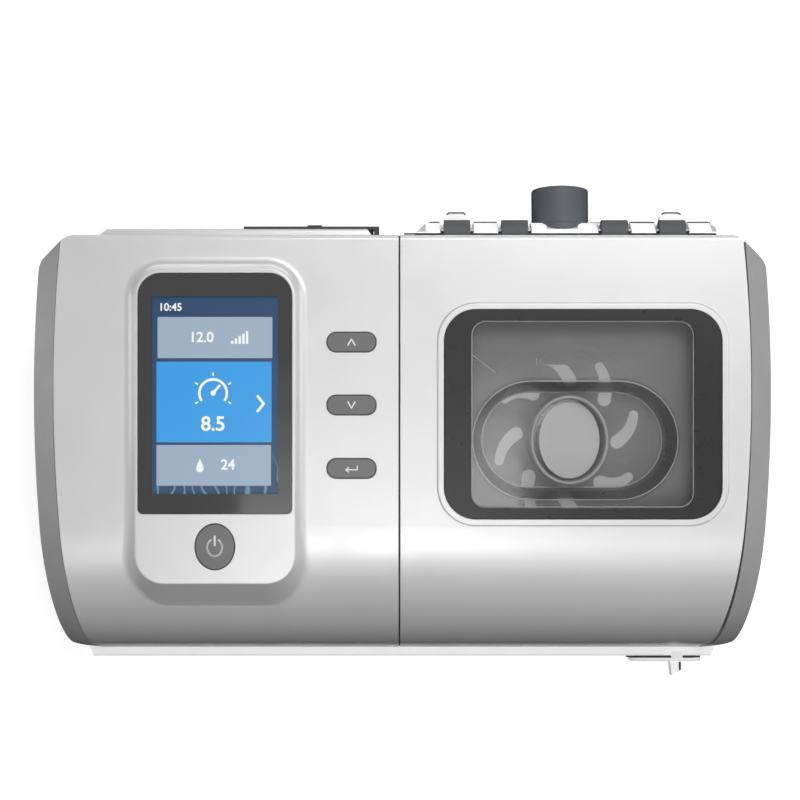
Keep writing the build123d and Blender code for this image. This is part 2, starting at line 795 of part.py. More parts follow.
# ---------------------------------------------------------------- blower
with BuildPart() as blower_housing:
    with BuildSketch(Plane.XY.offset(volute_low_z)):
        with Locations((blower_x, blower_y)):
            Circle(volute_radius)
    extrude(amount=volute_height)
    add(rod(duct_bore + 2.0, (blower_x, outlet_y, blower_axis_z), (1, 0, 0), 44.0))
    with BuildSketch(Plane.XY.offset(volute_low_z + volute_wall)):
        with Locations((blower_x, blower_y)):
            Circle(volute_radius - volute_wall)
    extrude(amount=volute_height, mode=Mode.SUBTRACT)
    add(rod(duct_bore, (blower_x + 10, outlet_y, blower_axis_z), (1, 0, 0), 40.0),
        mode=Mode.SUBTRACT)
    with BuildSketch(Plane.XY.offset(volute_low_z)):
        with Locations((blower_x, blower_y)):
            Circle(bearing_radius + 1.0)
    extrude(amount=volute_height, mode=Mode.SUBTRACT)
finish(blower_housing, "blower_housing")

with BuildPart() as blower_cover:
    with BuildSketch(Plane.XY.offset(volute_top_z)):
        with Locations((blower_x, blower_y)):
            Circle(volute_radius)
    extrude(amount=volute_wall)
    with BuildSketch(Plane.XY.offset(volute_top_z + volute_wall)):
        with Locations((blower_x, blower_y)):
            Circle(inlet_radius + 3.0)
    extrude(amount=3.0)
    with BuildSketch(Plane.XY.offset(volute_top_z)):
        with Locations((blower_x, blower_y)):
            Circle(inlet_radius)
    extrude(amount=volute_wall + 3.0, mode=Mode.SUBTRACT)
finish(blower_cover, "blower_cover")

impeller_low_z = volute_low_z + volute_wall + 1.5
with BuildPart() as impeller:
    with BuildSketch(Plane.XY.offset(impeller_low_z)):
        with Locations((blower_x, blower_y)):
            Circle(impeller_radius)
    extrude(amount=2.0)
    with BuildSketch(Plane.XY.offset(impeller_low_z + 1.9)):
        with Locations((blower_x, blower_y)):
            with PolarLocations(23.0, impeller_blades):
                SlotOverall(22.0, 1.6, rotation=40)
    extrude(amount=impeller_height - 1.9)
    with BuildSketch(Plane.XY.offset(impeller_low_z)):
        with Locations((blower_x, blower_y)):
            Circle(hub_radius)
    extrude(amount=impeller_height)
    with BuildSketch(Plane.XY.offset(impeller_low_z)):
        with Locations((blower_x, blower_y)):
            Circle(shaft_radius)
    extrude(amount=impeller_height, mode=Mode.SUBTRACT)
finish(impeller, "impeller")

stator_low_z = volute_low_z - motor_height
with BuildPart() as motor_stator:
    with BuildSketch(Plane.XY.offset(stator_low_z)):
        with Locations((blower_x, blower_y)):
            Circle(motor_radius)
    extrude(amount=motor_height)
    with BuildSketch(Plane.XY.offset(stator_low_z + 1.5)):
        with Locations((blower_x, blower_y)):
            Circle(bearing_radius)
    extrude(amount=motor_height, mode=Mode.SUBTRACT)
    with BuildSketch(Plane.XY.offset(stator_low_z + 1.5 + bearing_width)):
        with Locations((blower_x, blower_y)):
            Circle(motor_radius - 6.0)
    extrude(amount=motor_height - 3.0 - 2 * bearing_width, mode=Mode.SUBTRACT)
finish(motor_stator, "motor_stator")

with BuildPart() as motor_bearings:
    for z in (stator_low_z + 1.5, volute_low_z - 1.5 - bearing_width):
        with BuildSketch(Plane.XY.offset(z)):
            with Locations((blower_x, blower_y)):
                Circle(bearing_radius)
                Circle(shaft_radius + shaft_clearance, mode=Mode.SUBTRACT)
        extrude(amount=bearing_width)
finish(motor_bearings, "motor_bearings")

with BuildPart() as motor_shaft:
    with BuildSketch(Plane.XY.offset(stator_low_z + 1.5 + gap)):
        with Locations((blower_x, blower_y)):
            Circle(shaft_radius)
    extrude(amount=impeller_low_z + impeller_height - stator_low_z - 1.5 - gap)
finish(motor_shaft, "motor_shaft")

with BuildPart() as motor_rotor:
    with BuildSketch(Plane.XY.offset(stator_low_z + 2.0 + bearing_width)):
        with Locations((blower_x, blower_y)):
            Circle(motor_radius - 6.6)
            Circle(shaft_radius, mode=Mode.SUBTRACT)
    extrude(amount=motor_height - 4.0 - 2 * bearing_width)
finish(motor_rotor, "motor_rotor")

with BuildPart() as blower_mounts:
    with BuildSketch(Plane.XY.offset(mount_low_z)):
        with Locations((blower_x, blower_y)):
            with PolarLocations(mount_circle, 3, start_angle=30):
                Circle(mount_radius)
    extrude(amount=mount_height)
finish(blower_mounts, "blower_mounts")

with BuildPart() as air_duct:
    duct_start = blower_x + 39.5
    duct_end = tank_left - gap
    add(rod(duct_radius, (duct_start, outlet_y, blower_axis_z), (1, 0, 0), duct_end - duct_start))
    add(rod(duct_bore + 2.0, (duct_start, outlet_y, blower_axis_z), (1, 0, 0), duct_end - duct_start),
        mode=Mode.SUBTRACT)
finish(air_duct, "air_duct")

with BuildPart() as muffler_foam:
    foam_left = filter_left - 2.2
    foam_right = filter_right - 10.1
    foam_front_y = back_y - wall - gap - foam_depth
    add(block(foam_left, foam_right, foam_front_y, back_y - wall - gap, foot_height + base_floor,
              filter_top_z - 2.0))
    foam_hole_z = (filter_low_z + filter_top_z) / 2 + 1.0
    add(rod(foam_hole, ((foam_left + foam_right) / 2, foam_front_y - 1, foam_hole_z), (0, 1, 0),
            foam_depth + 2), mode=Mode.SUBTRACT)
finish(muffler_foam, "muffler_foam")

# ---------------------------------------------------------------- back panel
cover_out_y = panel_back_y + filter_proud
cover_in_y = cover_out_y - filter_cover_thickness
rod_y = back_y + door_rod_radius + gap
rod_z = filter_low_z + gap + cover_out_y - rod_y
with BuildPart() as rear_panel:
    with BuildSketch(Plane.XY.offset(panel_low_z)):
        with BuildLine():
            Polyline(
                (panel_left, back_y),
                (panel_left + panel_left_slant, panel_back_y),
                (panel_right - panel_right_slant, panel_back_y),
                (panel_right, back_y),
                (panel_left, back_y),
            )
        make_face()
    extrude(amount=panel_top_z - panel_low_z)
    fillet(rear_panel.edges().filter_by(Axis.X).group_by(Axis.Y)[-1], 1.0)
    add(block(filter_left, filter_right, back_y - 1, panel_back_y + 1, filter_low_z, filter_top_z),
        mode=Mode.SUBTRACT)
    add(rod(hinge_rod_radius + 0.05, (filter_left - 1.8, rod_y, rod_z), (1, 0, 0),
            filter_right - filter_left + 3.6), mode=Mode.SUBTRACT)
    add(rod(socket_radius + 0.2, (socket_x, back_y - 1, socket_z), (0, 1, 0), 10.0),
        mode=Mode.SUBTRACT)
    add(block(card_x - card_width / 2 - 0.4, card_x + card_width / 2 + 0.4, back_y - 1,
              panel_back_y + 1, card_z - card_thickness / 2 - 0.4, card_z + card_thickness / 2 + 0.4),
        mode=Mode.SUBTRACT)
finish(rear_panel, "rear_panel")

with BuildPart() as filter_cover:
    add(block(filter_left + gap, filter_right - gap, cover_in_y, cover_out_y, rod_z,
              filter_top_z - gap))
    add(rod(door_rod_radius, (filter_left + gap, rod_y, rod_z), (1, 0, 0),
            filter_right - filter_left - 2 * gap))
    add(rod(hinge_rod_radius, (filter_left - 1.5, rod_y, rod_z), (1, 0, 0),
            filter_right - filter_left + 3.0))
    # a flange that laps the panel, a finger tab on it, and a catch round the panel's end
    flange_right = filter_right + flange_right_lap
    flange_top_z = filter_top_z + flange_top_lap
    add(block(filter_left - flange_left_lap, flange_right, panel_back_y + gap, cover_out_y,
              rod_z + flange_foot, flange_top_z))
    add(block(filter_tab_x - filter_tab_width / 2, filter_tab_x + filter_tab_width / 2,
              cover_out_y - 0.1, cover_out_y + 0.7, flange_top_z - 4.5, flange_top_z - 1.0))
    add(block(panel_right + gap, panel_right + gap + catch_width, back_y + gap, cover_out_y,
              flange_top_z - catch_height, flange_top_z))
    add(block(flange_right - 0.1, panel_right + gap + 0.1, panel_back_y + gap, cover_out_y,
              flange_top_z - catch_height, flange_top_z))
    with BuildSketch(Plane.XZ.offset(-cover_out_y)):
        with Locations(((filter_left + filter_right) / 2, (filter_low_z + filter_top_z) / 2 + 1.0)):
            with GridLocations(5.0, 18.0, 8, 2):
                SlotOverall(14.0, 2.4, rotation=90)
    extrude(amount=filter_cover_thickness + 1, mode=Mode.SUBTRACT)
finish(filter_cover, "filter_cover")

with BuildPart() as air_filter:
    add(block(filter_left + 1.2, filter_right - 1.2, back_y, back_y + filter_foam_thickness - gap,
              rod_z + 2.6, filter_top_z - 0.8))
finish(air_filter, "air_filter")

with BuildPart() as power_socket:
    socket_front_y = panel_back_y - socket_length
    add(rod(socket_radius, (socket_x, socket_front_y, socket_z), (0, 1, 0), socket_length))
    add(block(socket_x - socket_flange, socket_x + socket_flange, back_y - wall - 3.2,
              back_y - wall - 0.1, socket_z - socket_flange, socket_z + socket_flange))
    add(rod(socket_bore, (socket_x, socket_front_y + 2.0, socket_z), (0, 1, 0), socket_length),
        mode=Mode.SUBTRACT)
    add(rod(socket_pin, (socket_x, socket_front_y + 1.9, socket_z), (0, 1, 0), socket_length - 3.0))
finish(power_socket, "power_socket")

card_back_y = panel_back_y + card_proud
with BuildPart() as card_reader:
    add(block(card_x - card_width / 2 - 2.4, card_x + card_width / 2 + 2.4,
              card_back_y - card_length - 2.4, back_y - wall - 0.1, card_z - 3.2, card_z + 3.2))
    add(block(card_x - card_width / 2 - 0.3, card_x + card_width / 2 + 0.3,
              card_back_y - card_length - 0.3, back_y, card_z - card_thickness / 2 - 0.3,
              card_z + card_thickness / 2 + 0.3), mode=Mode.SUBTRACT)
finish(card_reader, "card_reader")

with BuildPart() as memory_card:
    add(block(card_x - card_width / 2, card_x + card_width / 2, card_back_y - card_length,
              card_back_y, card_z - card_thickness / 2, card_z + card_thickness / 2))
    chamfer(memory_card.edges().filter_by(Axis.Z).sort_by(Axis.Y)[0], 3.0)
finish(memory_card, "memory_card")

# ---------------------------------------------------------------- chamber bay and heater
bay_form = case_form(wall + bay_top_gap, foot_height, back_y, 0)
bay_hollow = bay_inner_zone & block(bay_left + wall, bay_right - wall, bay_front + wall,
                                    bay_back - wall, -big, big)
with BuildPart() as humidifier_bay:
    add(bay_form & block(bay_left, bay_right, bay_front, bay_back, foot_height + base_floor, big))
    add(bay_zone, mode=Mode.INTERSECT)
    add(bay_hollow & block(-big, big, -big, big, bay_floor_top, big), mode=Mode.SUBTRACT)
    add(bay_hollow & block(-big, big, -big, big, -big, bay_floor_z), mode=Mode.SUBTRACT)
    # blocks under the floor for the base screws
    for x, y in right_posts:
        half = post_size / 2
        add(block(x - half, x + half, y - half, y + half, base_top_z, bay_floor_z + 0.1))
    with BuildSketch(Plane.XY.offset(base_top_z)):
        with Locations(*right_posts):
            Circle(screw_shank + 0.1)
    extrude(amount=bay_floor_z - base_top_z - 1.0, mode=Mode.SUBTRACT)
    # round opening for the heater plate
    add(rod(heater_radius + 1.6, (heater_x, heater_y, 0), (0, 0, 1), bay_floor_top + 5),
        mode=Mode.SUBTRACT)
    # the rear wall is low, and cut away for the outlet
    add(block(bay_left - 1, bay_right + 1, bay_back - wall - 1, bay_back + 1, outlet_z + 4.0, big),
        mode=Mode.SUBTRACT)
    bay_notch = manifold_half + 1.3
    add(block(outlet_x - bay_notch, outlet_x + bay_notch, bay_back - wall - 1, bay_back + 1,
              lid_low_z, big), mode=Mode.SUBTRACT)
    add(rod(duct_radius + gap, (bay_left - 1, outlet_y, blower_axis_z), (1, 0, 0), wall + 2),
        mode=Mode.SUBTRACT)
finish(humidifier_bay, "humidifier_bay")

with BuildPart() as heater_plate:
    add(rod(heater_radius, (heater_x, heater_y, heater_low_z), (0, 0, 1), heater_top_z - heater_low_z))
    fillet(heater_plate.edges().group_by(Axis.Z)[-1], 0.8)
    add(rod(heater_radius + heater_flange, (heater_x, heater_y, heater_low_z), (0, 0, 1), base_floor))
finish(heater_plate, "heater_plate")

with BuildPart() as heater_gasket:
    add(rod(heater_radius + 1.6, (heater_x, heater_y, bay_floor_z), (0, 0, 1), wall))
    add(rod(heater_radius + gap, (heater_x, heater_y, bay_floor_z), (0, 0, 1), wall),
        mode=Mode.SUBTRACT)
finish(heater_gasket, "heater_gasket")

with BuildPart() as heater_springs:
    with BuildSketch(Plane.XY.offset(foot_height + base_floor)):
        with Locations((heater_x, heater_y)):
            with PolarLocations(spring_circle, 4, start_angle=45):
                Circle(spring_radius)
                Circle(spring_radius - 1.0, mode=Mode.SUBTRACT)
    extrude(amount=heater_low_z - foot_height - base_floor)
finish(heater_springs, "heater_springs")

# ---------------------------------------------------------------- water chamber
chamber_form = case_form(tank_inset, foot_height, back_y, 0)
chamber_inner = case_form(tank_inset + tank_wall, foot_height, back_y, 0)
chamber_box = block(tank_left, tank_right, tank_front, tank_back, -big, big)
chamber_hollow = block(tank_left + tank_wall, tank_right - tank_wall, tank_front + tank_wall,
                       tank_back - tank_wall, -big, big)
chamber_outer = chamber_form & chamber_box & tank_zone
chamber_void = chamber_inner & chamber_hollow & tank_inner_zone
tank_posts = [
    (tank_left + tank_post_inset, tank_front + tank_post_front),
    (tank_right - tank_post_inset, tank_front + tank_post_front),
    (tank_left + tank_post_inset, tank_back - tank_post_inset),
    (tank_right - tank_post_inset, tank_back - tank_post_inset),
]

with BuildPart() as water_tank:
    add(chamber_outer & block(-big, big, -big, big, tank_floor_z, tank_split_z))
    fillet(water_tank.edges().filter_by(Axis.Z), tank_corner)
    add(chamber_void & block(-big, big, -big, big, tank_floor_z + tank_wall, big),
        mode=Mode.SUBTRACT)
    # posts under the splash baffle
    with BuildSketch(Plane.XY.offset(tank_floor_z)):
        with Locations(*tank_posts):
            Circle(tank_post_radius)
    extrude(amount=baffle_z - tank_floor_z)
    add(rod(heater_radius - 2.0, (heater_x, heater_y, tank_floor_z - 1), (0, 0, 1), tank_wall + 2),
        mode=Mode.SUBTRACT)
    add(rod(duct_bore, (tank_left - 1, outlet_y, blower_axis_z), (1, 0, 0), tank_wall + 2),
        mode=Mode.SUBTRACT)
finish(water_tank, "water_tank")

with BuildPart() as tank_base_plate:
    add(rod(heater_radius + 2.0, (heater_x, heater_y, tank_low_z), (0, 0, 1), tank_plate_thickness))
    fillet(tank_base_plate.edges().group_by(Axis.Z)[0], 0.5)
finish(tank_base_plate, "tank_base_plate")

with BuildPart() as tank_seal:
    add(chamber_outer & block(-big, big, -big, big, tank_split_z, lid_low_z))
    fillet(tank_seal.edges().filter_by(Axis.Z), tank_corner)
    add(chamber_void, mode=Mode.SUBTRACT)
finish(tank_seal, "tank_seal")


def well_outline(grow, depth):
    """The racetrack-shaped outline of the well in the chamber's roof."""
    with BuildSketch(face_plane(depth, well_x, well_v)) as outline:
        SlotOverall(well_width + 2 * grow, well_length + 2 * grow)
    return outline.sketch


with BuildPart() as tank_lid:
    add(chamber_outer & block(-big, big, -big, big, lid_low_z, big))
    roof_rim = tank_lid.edges().filter_by(Axis.X).sort_by(Axis.Z)[-1]
    fillet(roof_rim, 1.5)
    add(chamber_void, mode=Mode.SUBTRACT)
    # a well sunk into the roof, with drafted walls and a floor
    extrude(well_outline(tank_wall, tank_inset + 0.1), amount=-(well_depth + tank_wall - 0.1),
            taper=well_taper)
    extrude(well_outline(0, tank_inset - 1), amount=-1.0, mode=Mode.SUBTRACT)
    extrude(well_outline(0, tank_inset), amount=-well_depth, taper=well_taper, mode=Mode.SUBTRACT)
    # oval port standing in the well's floor
    with BuildSketch(face_plane(tank_inset + well_depth + port_below, port_x, well_v)):
        Ellipse(port_width / 2 + port_wall, port_length / 2 + port_wall)
    extrude(amount=port_below + port_above)
    with BuildSketch(face_plane(tank_inset + well_depth + port_below, port_x, well_v)):
        Ellipse(port_width / 2, port_length / 2)
    extrude(amount=port_below + port_above, mode=Mode.SUBTRACT)
    # air outlet in the rear wall
    add(rod(spout_bore, (outlet_x, tank_back - tank_wall - 1, spout_z), (0, 1, 0), tank_wall + 2),
        mode=Mode.SUBTRACT)
finish(tank_lid, "tank_lid")


def swirl_slot(turn):
    """One bean-shaped slot of the splash baffle: three circles joined by two hulls."""
    def spot(radius, angle):
        a = radians(swirl_start + turn + angle)
        return (swirl_squash * radius * cos(a), radius * sin(a))
    with BuildSketch(Plane.XY.offset(baffle_z)) as slot:
        for first, second in zip(swirl_path, swirl_path[1:]):
            with BuildSketch(Plane.XY.offset(baffle_z), mode=Mode.ADD):
                with Locations(spot(first[0], first[1])):
                    Circle(first[2])
                with Locations(spot(second[0], second[1])):
                    Circle(second[2])
                make_hull()
    return slot.sketch


swirl_y = face_point(well_v, face_z - baffle_z)[0]
with BuildPart() as splash_baffle:
    add(block(tank_left + tank_wall + baffle_gap, tank_right - tank_wall - baffle_gap,
              tank_front + tank_wall + baffle_front_gap, tank_back - tank_wall - baffle_gap,
              baffle_z, baffle_z + baffle_thickness))
    add(tank_inner_zone, mode=Mode.INTERSECT)
    fillet(splash_baffle.edges().filter_by(Axis.Z), tank_corner - 1)
    for count in range(swirl_slots):
        slot = swirl_slot(count * 360 / swirl_slots)
        add(slot.moved(Location((well_x, swirl_y, 0))))
        extrude(amount=baffle_thickness, mode=Mode.SUBTRACT)
    with BuildSketch(Plane.XY.offset(baffle_z)):
        with Locations((port_x, swirl_y)):
            Ellipse(port_width / 2 + 1.0, port_length / 2 + 1.0)
    extrude(amount=baffle_thickness, mode=Mode.SUBTRACT)
finish(splash_baffle, "splash_baffle")

# ---------------------------------------------------------------- rear case and outlet
knuckle_xs = [ledge_mid_x + offset for offset in knuckle_offsets]
slot_half = knuckle_width / 2 + knuckle_slot
rear_low_z = base_top_z
slot_floor_z = hinge_z - knuckle_radius - 0.5
with BuildPart() as rear_case:
    with BuildSketch(Plane.YZ.offset(ledge_left)):
        with BuildLine():
            Polyline(
                (rear_front_y, rear_low_z),
                (ledge_back_y, rear_low_z),
                (ledge_back_y, ledge_top_z - ledge_drop),
                (ledge_flat_y, ledge_top_z),
                (back_y + 0.5, ledge_top_z),
                (back_y + 0.5, ledge_top_z - ledge_lap + 0.3),
                (rear_front_y, ledge_top_z - ledge_lap),
                (rear_front_y, rear_low_z),
            )
        make_face()
    extrude(amount=ledge_right - ledge_left)
    tall = [e for e in rear_case.edges().filter_by(Axis.Z) if e.center().Y > ledge_back_y - 0.1]
    tall = sorted(tall, key=lambda e: e.center().X)
    chamfer(tall[0], 5.0, 6.0)
    chamfer([e for e in rear_case.edges().filter_by(Axis.Z)
             if e.center().Y > ledge_back_y - 0.1 and e.center().X > ledge_right - 0.1], 2.0)
    # the wall runs on at both sides as far as the cover and the end cap
    rear_wall_z = ledge_top_z - ledge_lap
    add(block(lid_left, ledge_left + 0.1, rear_front_y, back_y, rear_low_z, rear_wall_z))
    add(block(ledge_right - 0.1, seam_half - rear_side, rear_front_y, back_y, rear_low_z,
              rear_wall_z) & plan_prism(0))
    # hollow, open below
    add(block(ledge_left + 7.0, ledge_right - 4.0, rear_front_y + wall, ledge_back_y - wall,
              -big, slot_floor_z - 2.2), mode=Mode.SUBTRACT)
    # hinge slots and pin bores
    for x in knuckle_xs:
        add(block(x - slot_half, x + slot_half, rear_front_y - 1, ledge_back_y + 1,
                  slot_floor_z, big), mode=Mode.SUBTRACT)
        reach = slot_half + pin_hold + 0.3
        add(rod(pin_radius + pin_clearance, (x - reach, hinge_y, hinge_z), (1, 0, 0), 2 * reach),
            mode=Mode.SUBTRACT)
    # outlet: bore, room for the collar, and the way to the chamber
    add(rod(outlet_radius + 0.15, (outlet_x, rear_front_y + wall, outlet_z), (0, 1, 0), 20.0),
        mode=Mode.SUBTRACT)
    collar_half = outlet_radius + gap
    add(block(outlet_x - collar_half, outlet_x + collar_half, rear_front_y + wall,
              ledge_back_y - wall, outlet_z - collar_drop - 0.6, outlet_z), mode=Mode.SUBTRACT)
    passage_half = manifold_half + gap
    add(block(outlet_x - passage_half, outlet_x + passage_half, rear_front_y - 1,
              rear_front_y + wall + 0.1, lid_low_z, outlet_z + outlet_radius + 0.5),
        mode=Mode.SUBTRACT)
finish(rear_case, "rear_case")

collar_y = rear_front_y + wall + 0.3
with BuildPart() as outlet_connector:
    add(rod(outlet_radius, (outlet_x, ledge_back_y, outlet_z), (0, 1, 0), outlet_end_y - ledge_back_y))
    fillet(outlet_connector.edges().group_by(Axis.Y)[-1], 0.6)
    add(rod(outlet_radius - 0.2, (outlet_x, collar_y, outlet_z), (0, 1, 0),
            ledge_back_y - collar_y + 0.1))
    add(block(outlet_x - outlet_radius, outlet_x + outlet_radius, collar_y, collar_y + 2.0,
              outlet_z - collar_drop, outlet_z))
    add(rod(outlet_bore, (outlet_x, collar_y - 1, outlet_z), (0, 1, 0), 40.0), mode=Mode.SUBTRACT)
finish(outlet_connector, "outlet_connector")

manifold_front = tank_back + gap
manifold_back = rear_front_y + wall
with BuildPart() as outlet_manifold:
    add(block(outlet_x - manifold_half, outlet_x + manifold_half, manifold_front, manifold_back,
              lid_low_z, outlet_z + outlet_radius))
    fillet(outlet_manifold.edges().filter_by(Axis.Y), 4.0)
    manifold_inner = manifold_half - manifold_wall
    add(block(outlet_x - manifold_inner, outlet_x + manifold_inner, manifold_front + manifold_wall,
              manifold_back - manifold_wall, lid_low_z + manifold_wall,
              outlet_z + outlet_radius - 1.5), mode=Mode.SUBTRACT)
    add(rod(spout_bore, (outlet_x, manifold_front - 1, spout_z), (0, 1, 0), 5.0), mode=Mode.SUBTRACT)
    add(rod(outlet_radius - gap, (outlet_x, manifold_back - 1, outlet_z), (0, 1, 0),
            1 + collar_y - manifold_back))
    add(rod(outlet_bore, (outlet_x, manifold_back - 4, outlet_z), (0, 1, 0), 5.0), mode=Mode.SUBTRACT)
finish(outlet_manifold, "outlet_manifold")

slot_edges = [ledge_left + 6.0]
for x in knuckle_xs:
    slot_edges += [x - slot_half, x + slot_half]
slot_edges.append(ledge_right - 2.0)
with BuildPart() as rear_trim:
    for first, second in zip(slot_edges[::2], slot_edges[1::2]):
        if first < outlet_x < second:
            continue
        add(block(first + 0.2, second - 0.2, ledge_back_y, ledge_back_y + 0.6,
                  slot_floor_z - 1.0, ledge_top_z - ledge_drop - 0.3))
finish(rear_trim, "rear_trim")

with BuildPart() as rear_catches:
    for x in (knuckle_xs[0], knuckle_xs[-1] + catch_shift):
        add(block(x - 4.5, x + 4.5, ledge_back_y, ledge_back_y + 5.2, hinge_z - 12.0, hinge_z - 8.0))
    fillet(rear_catches.edges().filter_by(Axis.Z).group_by(Axis.Y)[-1], 2.0)
finish(rear_catches, "rear_catches")

# ---------------------------------------------------------------- lid and hinge
with BuildPart() as chamber_lid:
    add(outer_form)
    add(lid_zone, mode=Mode.INTERSECT)
    add(block(lid_left, big, -big, big, base_top_z + lid_low_gap, big), mode=Mode.INTERSECT)
    # raised lip round the window
    with BuildSketch(face_plane(-lip_rise, window_x, window_v)):
        RectangleRounded(frame_width + 2 * lip_width, frame_length + 2 * lip_width,
                         frame_corner + lip_width)
    extrude(amount=-(lip_rise + 1))
    lip = [e for e in chamber_lid.edges() if min(q.Z for q in face_points(e)) > lip_rise - 0.01]
    fillet(lip, 0.7)
    add(open_form, mode=Mode.SUBTRACT)
    with BuildSketch(face_plane(-lip_rise - 1, window_x, window_v)):
        RectangleRounded(frame_width + 0.2, frame_length + 0.2, frame_corner + 0.1)
    extrude(amount=-(lip_rise + 1 + 2 * wall), mode=Mode.SUBTRACT)
    # stiffening rib along the parting line
    rib_zone = block(lid_left, lid_left + 2.0, -big, rear_front_y - 3.0, base_top_z + lid_low_gap, big)
    rib_core = case_form(wall + rib_depth, base_top_z - 5, back_y + 20, 0)
    rib_skin = case_form(wall - 0.2, base_top_z - 5, back_y + 20, 0)
    add((rib_skin - rib_core) & rib_zone)
finish(chamber_lid, "chamber_lid")

with BuildPart() as window_frame:
    with BuildSketch(face_plane(-frame_sink, window_x, window_v)):
        RectangleRounded(frame_width, frame_length, frame_corner)
    extrude(amount=-(frame_sink + wall + 1.5))
    crown = [e for e in window_frame.edges() if min(q.Z for q in face_points(e)) > frame_sink - 0.01]
    fillet(crown, 0.25)
    with BuildSketch(face_plane(wall, window_x, window_v)):
        RectangleRounded(frame_width + 2 * frame_side_flange, frame_length + 2 * frame_flange,
                         frame_corner)
    extrude(amount=-1.5)
    with BuildSketch(face_plane(-frame_sink, window_x, window_v)):
        RectangleRounded(view_width, view_length, view_corner)
    extrude(amount=-(frame_sink + 2 * wall), mode=Mode.SUBTRACT)
    with BuildSketch(face_plane(wall - 0.9, window_x, window_v)):
        RectangleRounded(view_width + 2 * pane_lap, view_length + 2 * pane_lap, view_corner + 1)
    extrude(amount=-2 * wall, mode=Mode.SUBTRACT)
finish(window_frame, "window_frame")

with BuildPart() as window_pane:
    with BuildSketch(face_plane(wall - 0.9, window_x, window_v)):
        RectangleRounded(view_width + 2 * pane_lap - 0.3, view_length + 2 * pane_lap - 0.3,
                         view_corner + 1)
    extrude(amount=-pane_thickness)
finish(window_pane, "window_pane")

with BuildPart() as lid_seal:
    seal_ring = bay_zone & block(bay_left, bay_right, bay_front, leaf_front_y - 2.0,
                                 base_top_z + 20.0, big)
    seal_void = bay_inner_zone & block(bay_left + wall, bay_right - wall, bay_front + wall, big,
                                       -big, big)
    seal_core = case_form(wall + seal_thickness, base_top_z, back_y + 20, 0)
    add((case_form(wall, base_top_z, back_y + 20, 0) & seal_ring) - seal_core - seal_void)
finish(lid_seal, "lid_seal")

with BuildPart() as hinge_knuckles:
    for x in knuckle_xs:
        with BuildSketch(Plane.YZ.offset(x - knuckle_width / 2)):
            with Locations((hinge_y, hinge_z)):
                Circle(knuckle_radius)
            with BuildLine():
                leaf_v = (leaf_front_y - face_y) / slope_cos
                high_front = face_point(leaf_v, wall)
                low_front = face_point(leaf_v, wall + 1.8)
                high_back = face_point(leaf_v + (hinge_y - 1.8 - leaf_front_y) / slope_cos, wall)
                Polyline(high_front, low_front, (hinge_y - 2.0, hinge_z - knuckle_radius + 1.2),
                         (hinge_y, hinge_z), high_back, high_front)
            make_face()
        extrude(amount=knuckle_width)
    for x in knuckle_xs:
        add(rod(pin_radius, (x - knuckle_width, hinge_y, hinge_z), (1, 0, 0), 2 * knuckle_width),
            mode=Mode.SUBTRACT)
finish(hinge_knuckles, "hinge_knuckles")

with BuildPart() as hinge_pins:
    for x in knuckle_xs:
        reach = slot_half + pin_hold
        add(rod(pin_radius, (x - reach, hinge_y, hinge_z), (1, 0, 0), 2 * reach))
finish(hinge_pins, "hinge_pins")

# ---------------------------------------------------------------- lock
striker_z = hook_top_z - finger_height - 0.4 - striker_height
with BuildPart() as lid_striker:
    add(block(striker_x - striker_width / 2, striker_x + striker_width / 2, -half_width,
              finger_back_y - 0.4, striker_z, striker_z + striker_height) & open_form)
finish(lid_striker, "lid_striker")

slot_left = tab_left - lock_travel - 0.5
slot_right = tab_right + 0.5
with BuildPart() as lock_bezel:
    with BuildSketch(Plane.XZ.offset(-(base_front_y - lock_thickness))):
        with Locations((lock_x, lock_mid_z)):
            SlotOverall(lock_width, lock_height)
    extrude(amount=-lock_thickness)
    fillet(lock_bezel.edges().group_by(Axis.Y)[0], 0.7)
    add(block(slot_left, slot_right, base_front_y - 5, base_front_y + 1,
              lock_mid_z - lock_slot_half, lock_mid_z + lock_slot_half), mode=Mode.SUBTRACT)
    # a clip over the plinth's upper edge
    add(block(tab_left, tab_right - 0.2, base_front_y - clip_thickness, base_front_y,
              lock_mid_z + 3.0, base_top_z + clip_thickness))
    add(block(tab_left, tab_right - 0.2, base_front_y - clip_thickness, base_front_y + 1.7,
              base_top_z, base_top_z + clip_thickness))
finish(lock_bezel, "lock_bezel")

bezel_front_y = base_front_y - lock_thickness
with BuildPart() as lock_slider:
    with BuildSketch(Plane.XY.offset(lock_mid_z - tab_height / 2)):
        with BuildLine():
            Polyline(
                (tab_left, bezel_front_y - 0.3),
                (tab_left + 0.5, tab_front_y),
                (tab_right, tab_front_y + 2.4),
                (tab_right, bezel_front_y - 0.3),
                (tab_left, bezel_front_y - 0.3),
            )
        make_face()
    extrude(amount=tab_height)
    add(block(tab_left, tab_right, bezel_front_y - 0.4, stem_back_y, lock_mid_z - stem_half,
              lock_mid_z + stem_half))
    add(block(tab_left, tab_right, finger_back_y - 0.1, stem_back_y, lock_mid_z - stem_half,
              hook_top_z))
    add(block(tab_left, tab_right, finger_front_y, finger_back_y, hook_top_z - finger_height,
              hook_top_z))
finish(lock_slider, "lock_slider")
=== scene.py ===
import json
from math import cos, pi, radians, sin

import bmesh
import bpy
from mathutils import Matrix, Vector


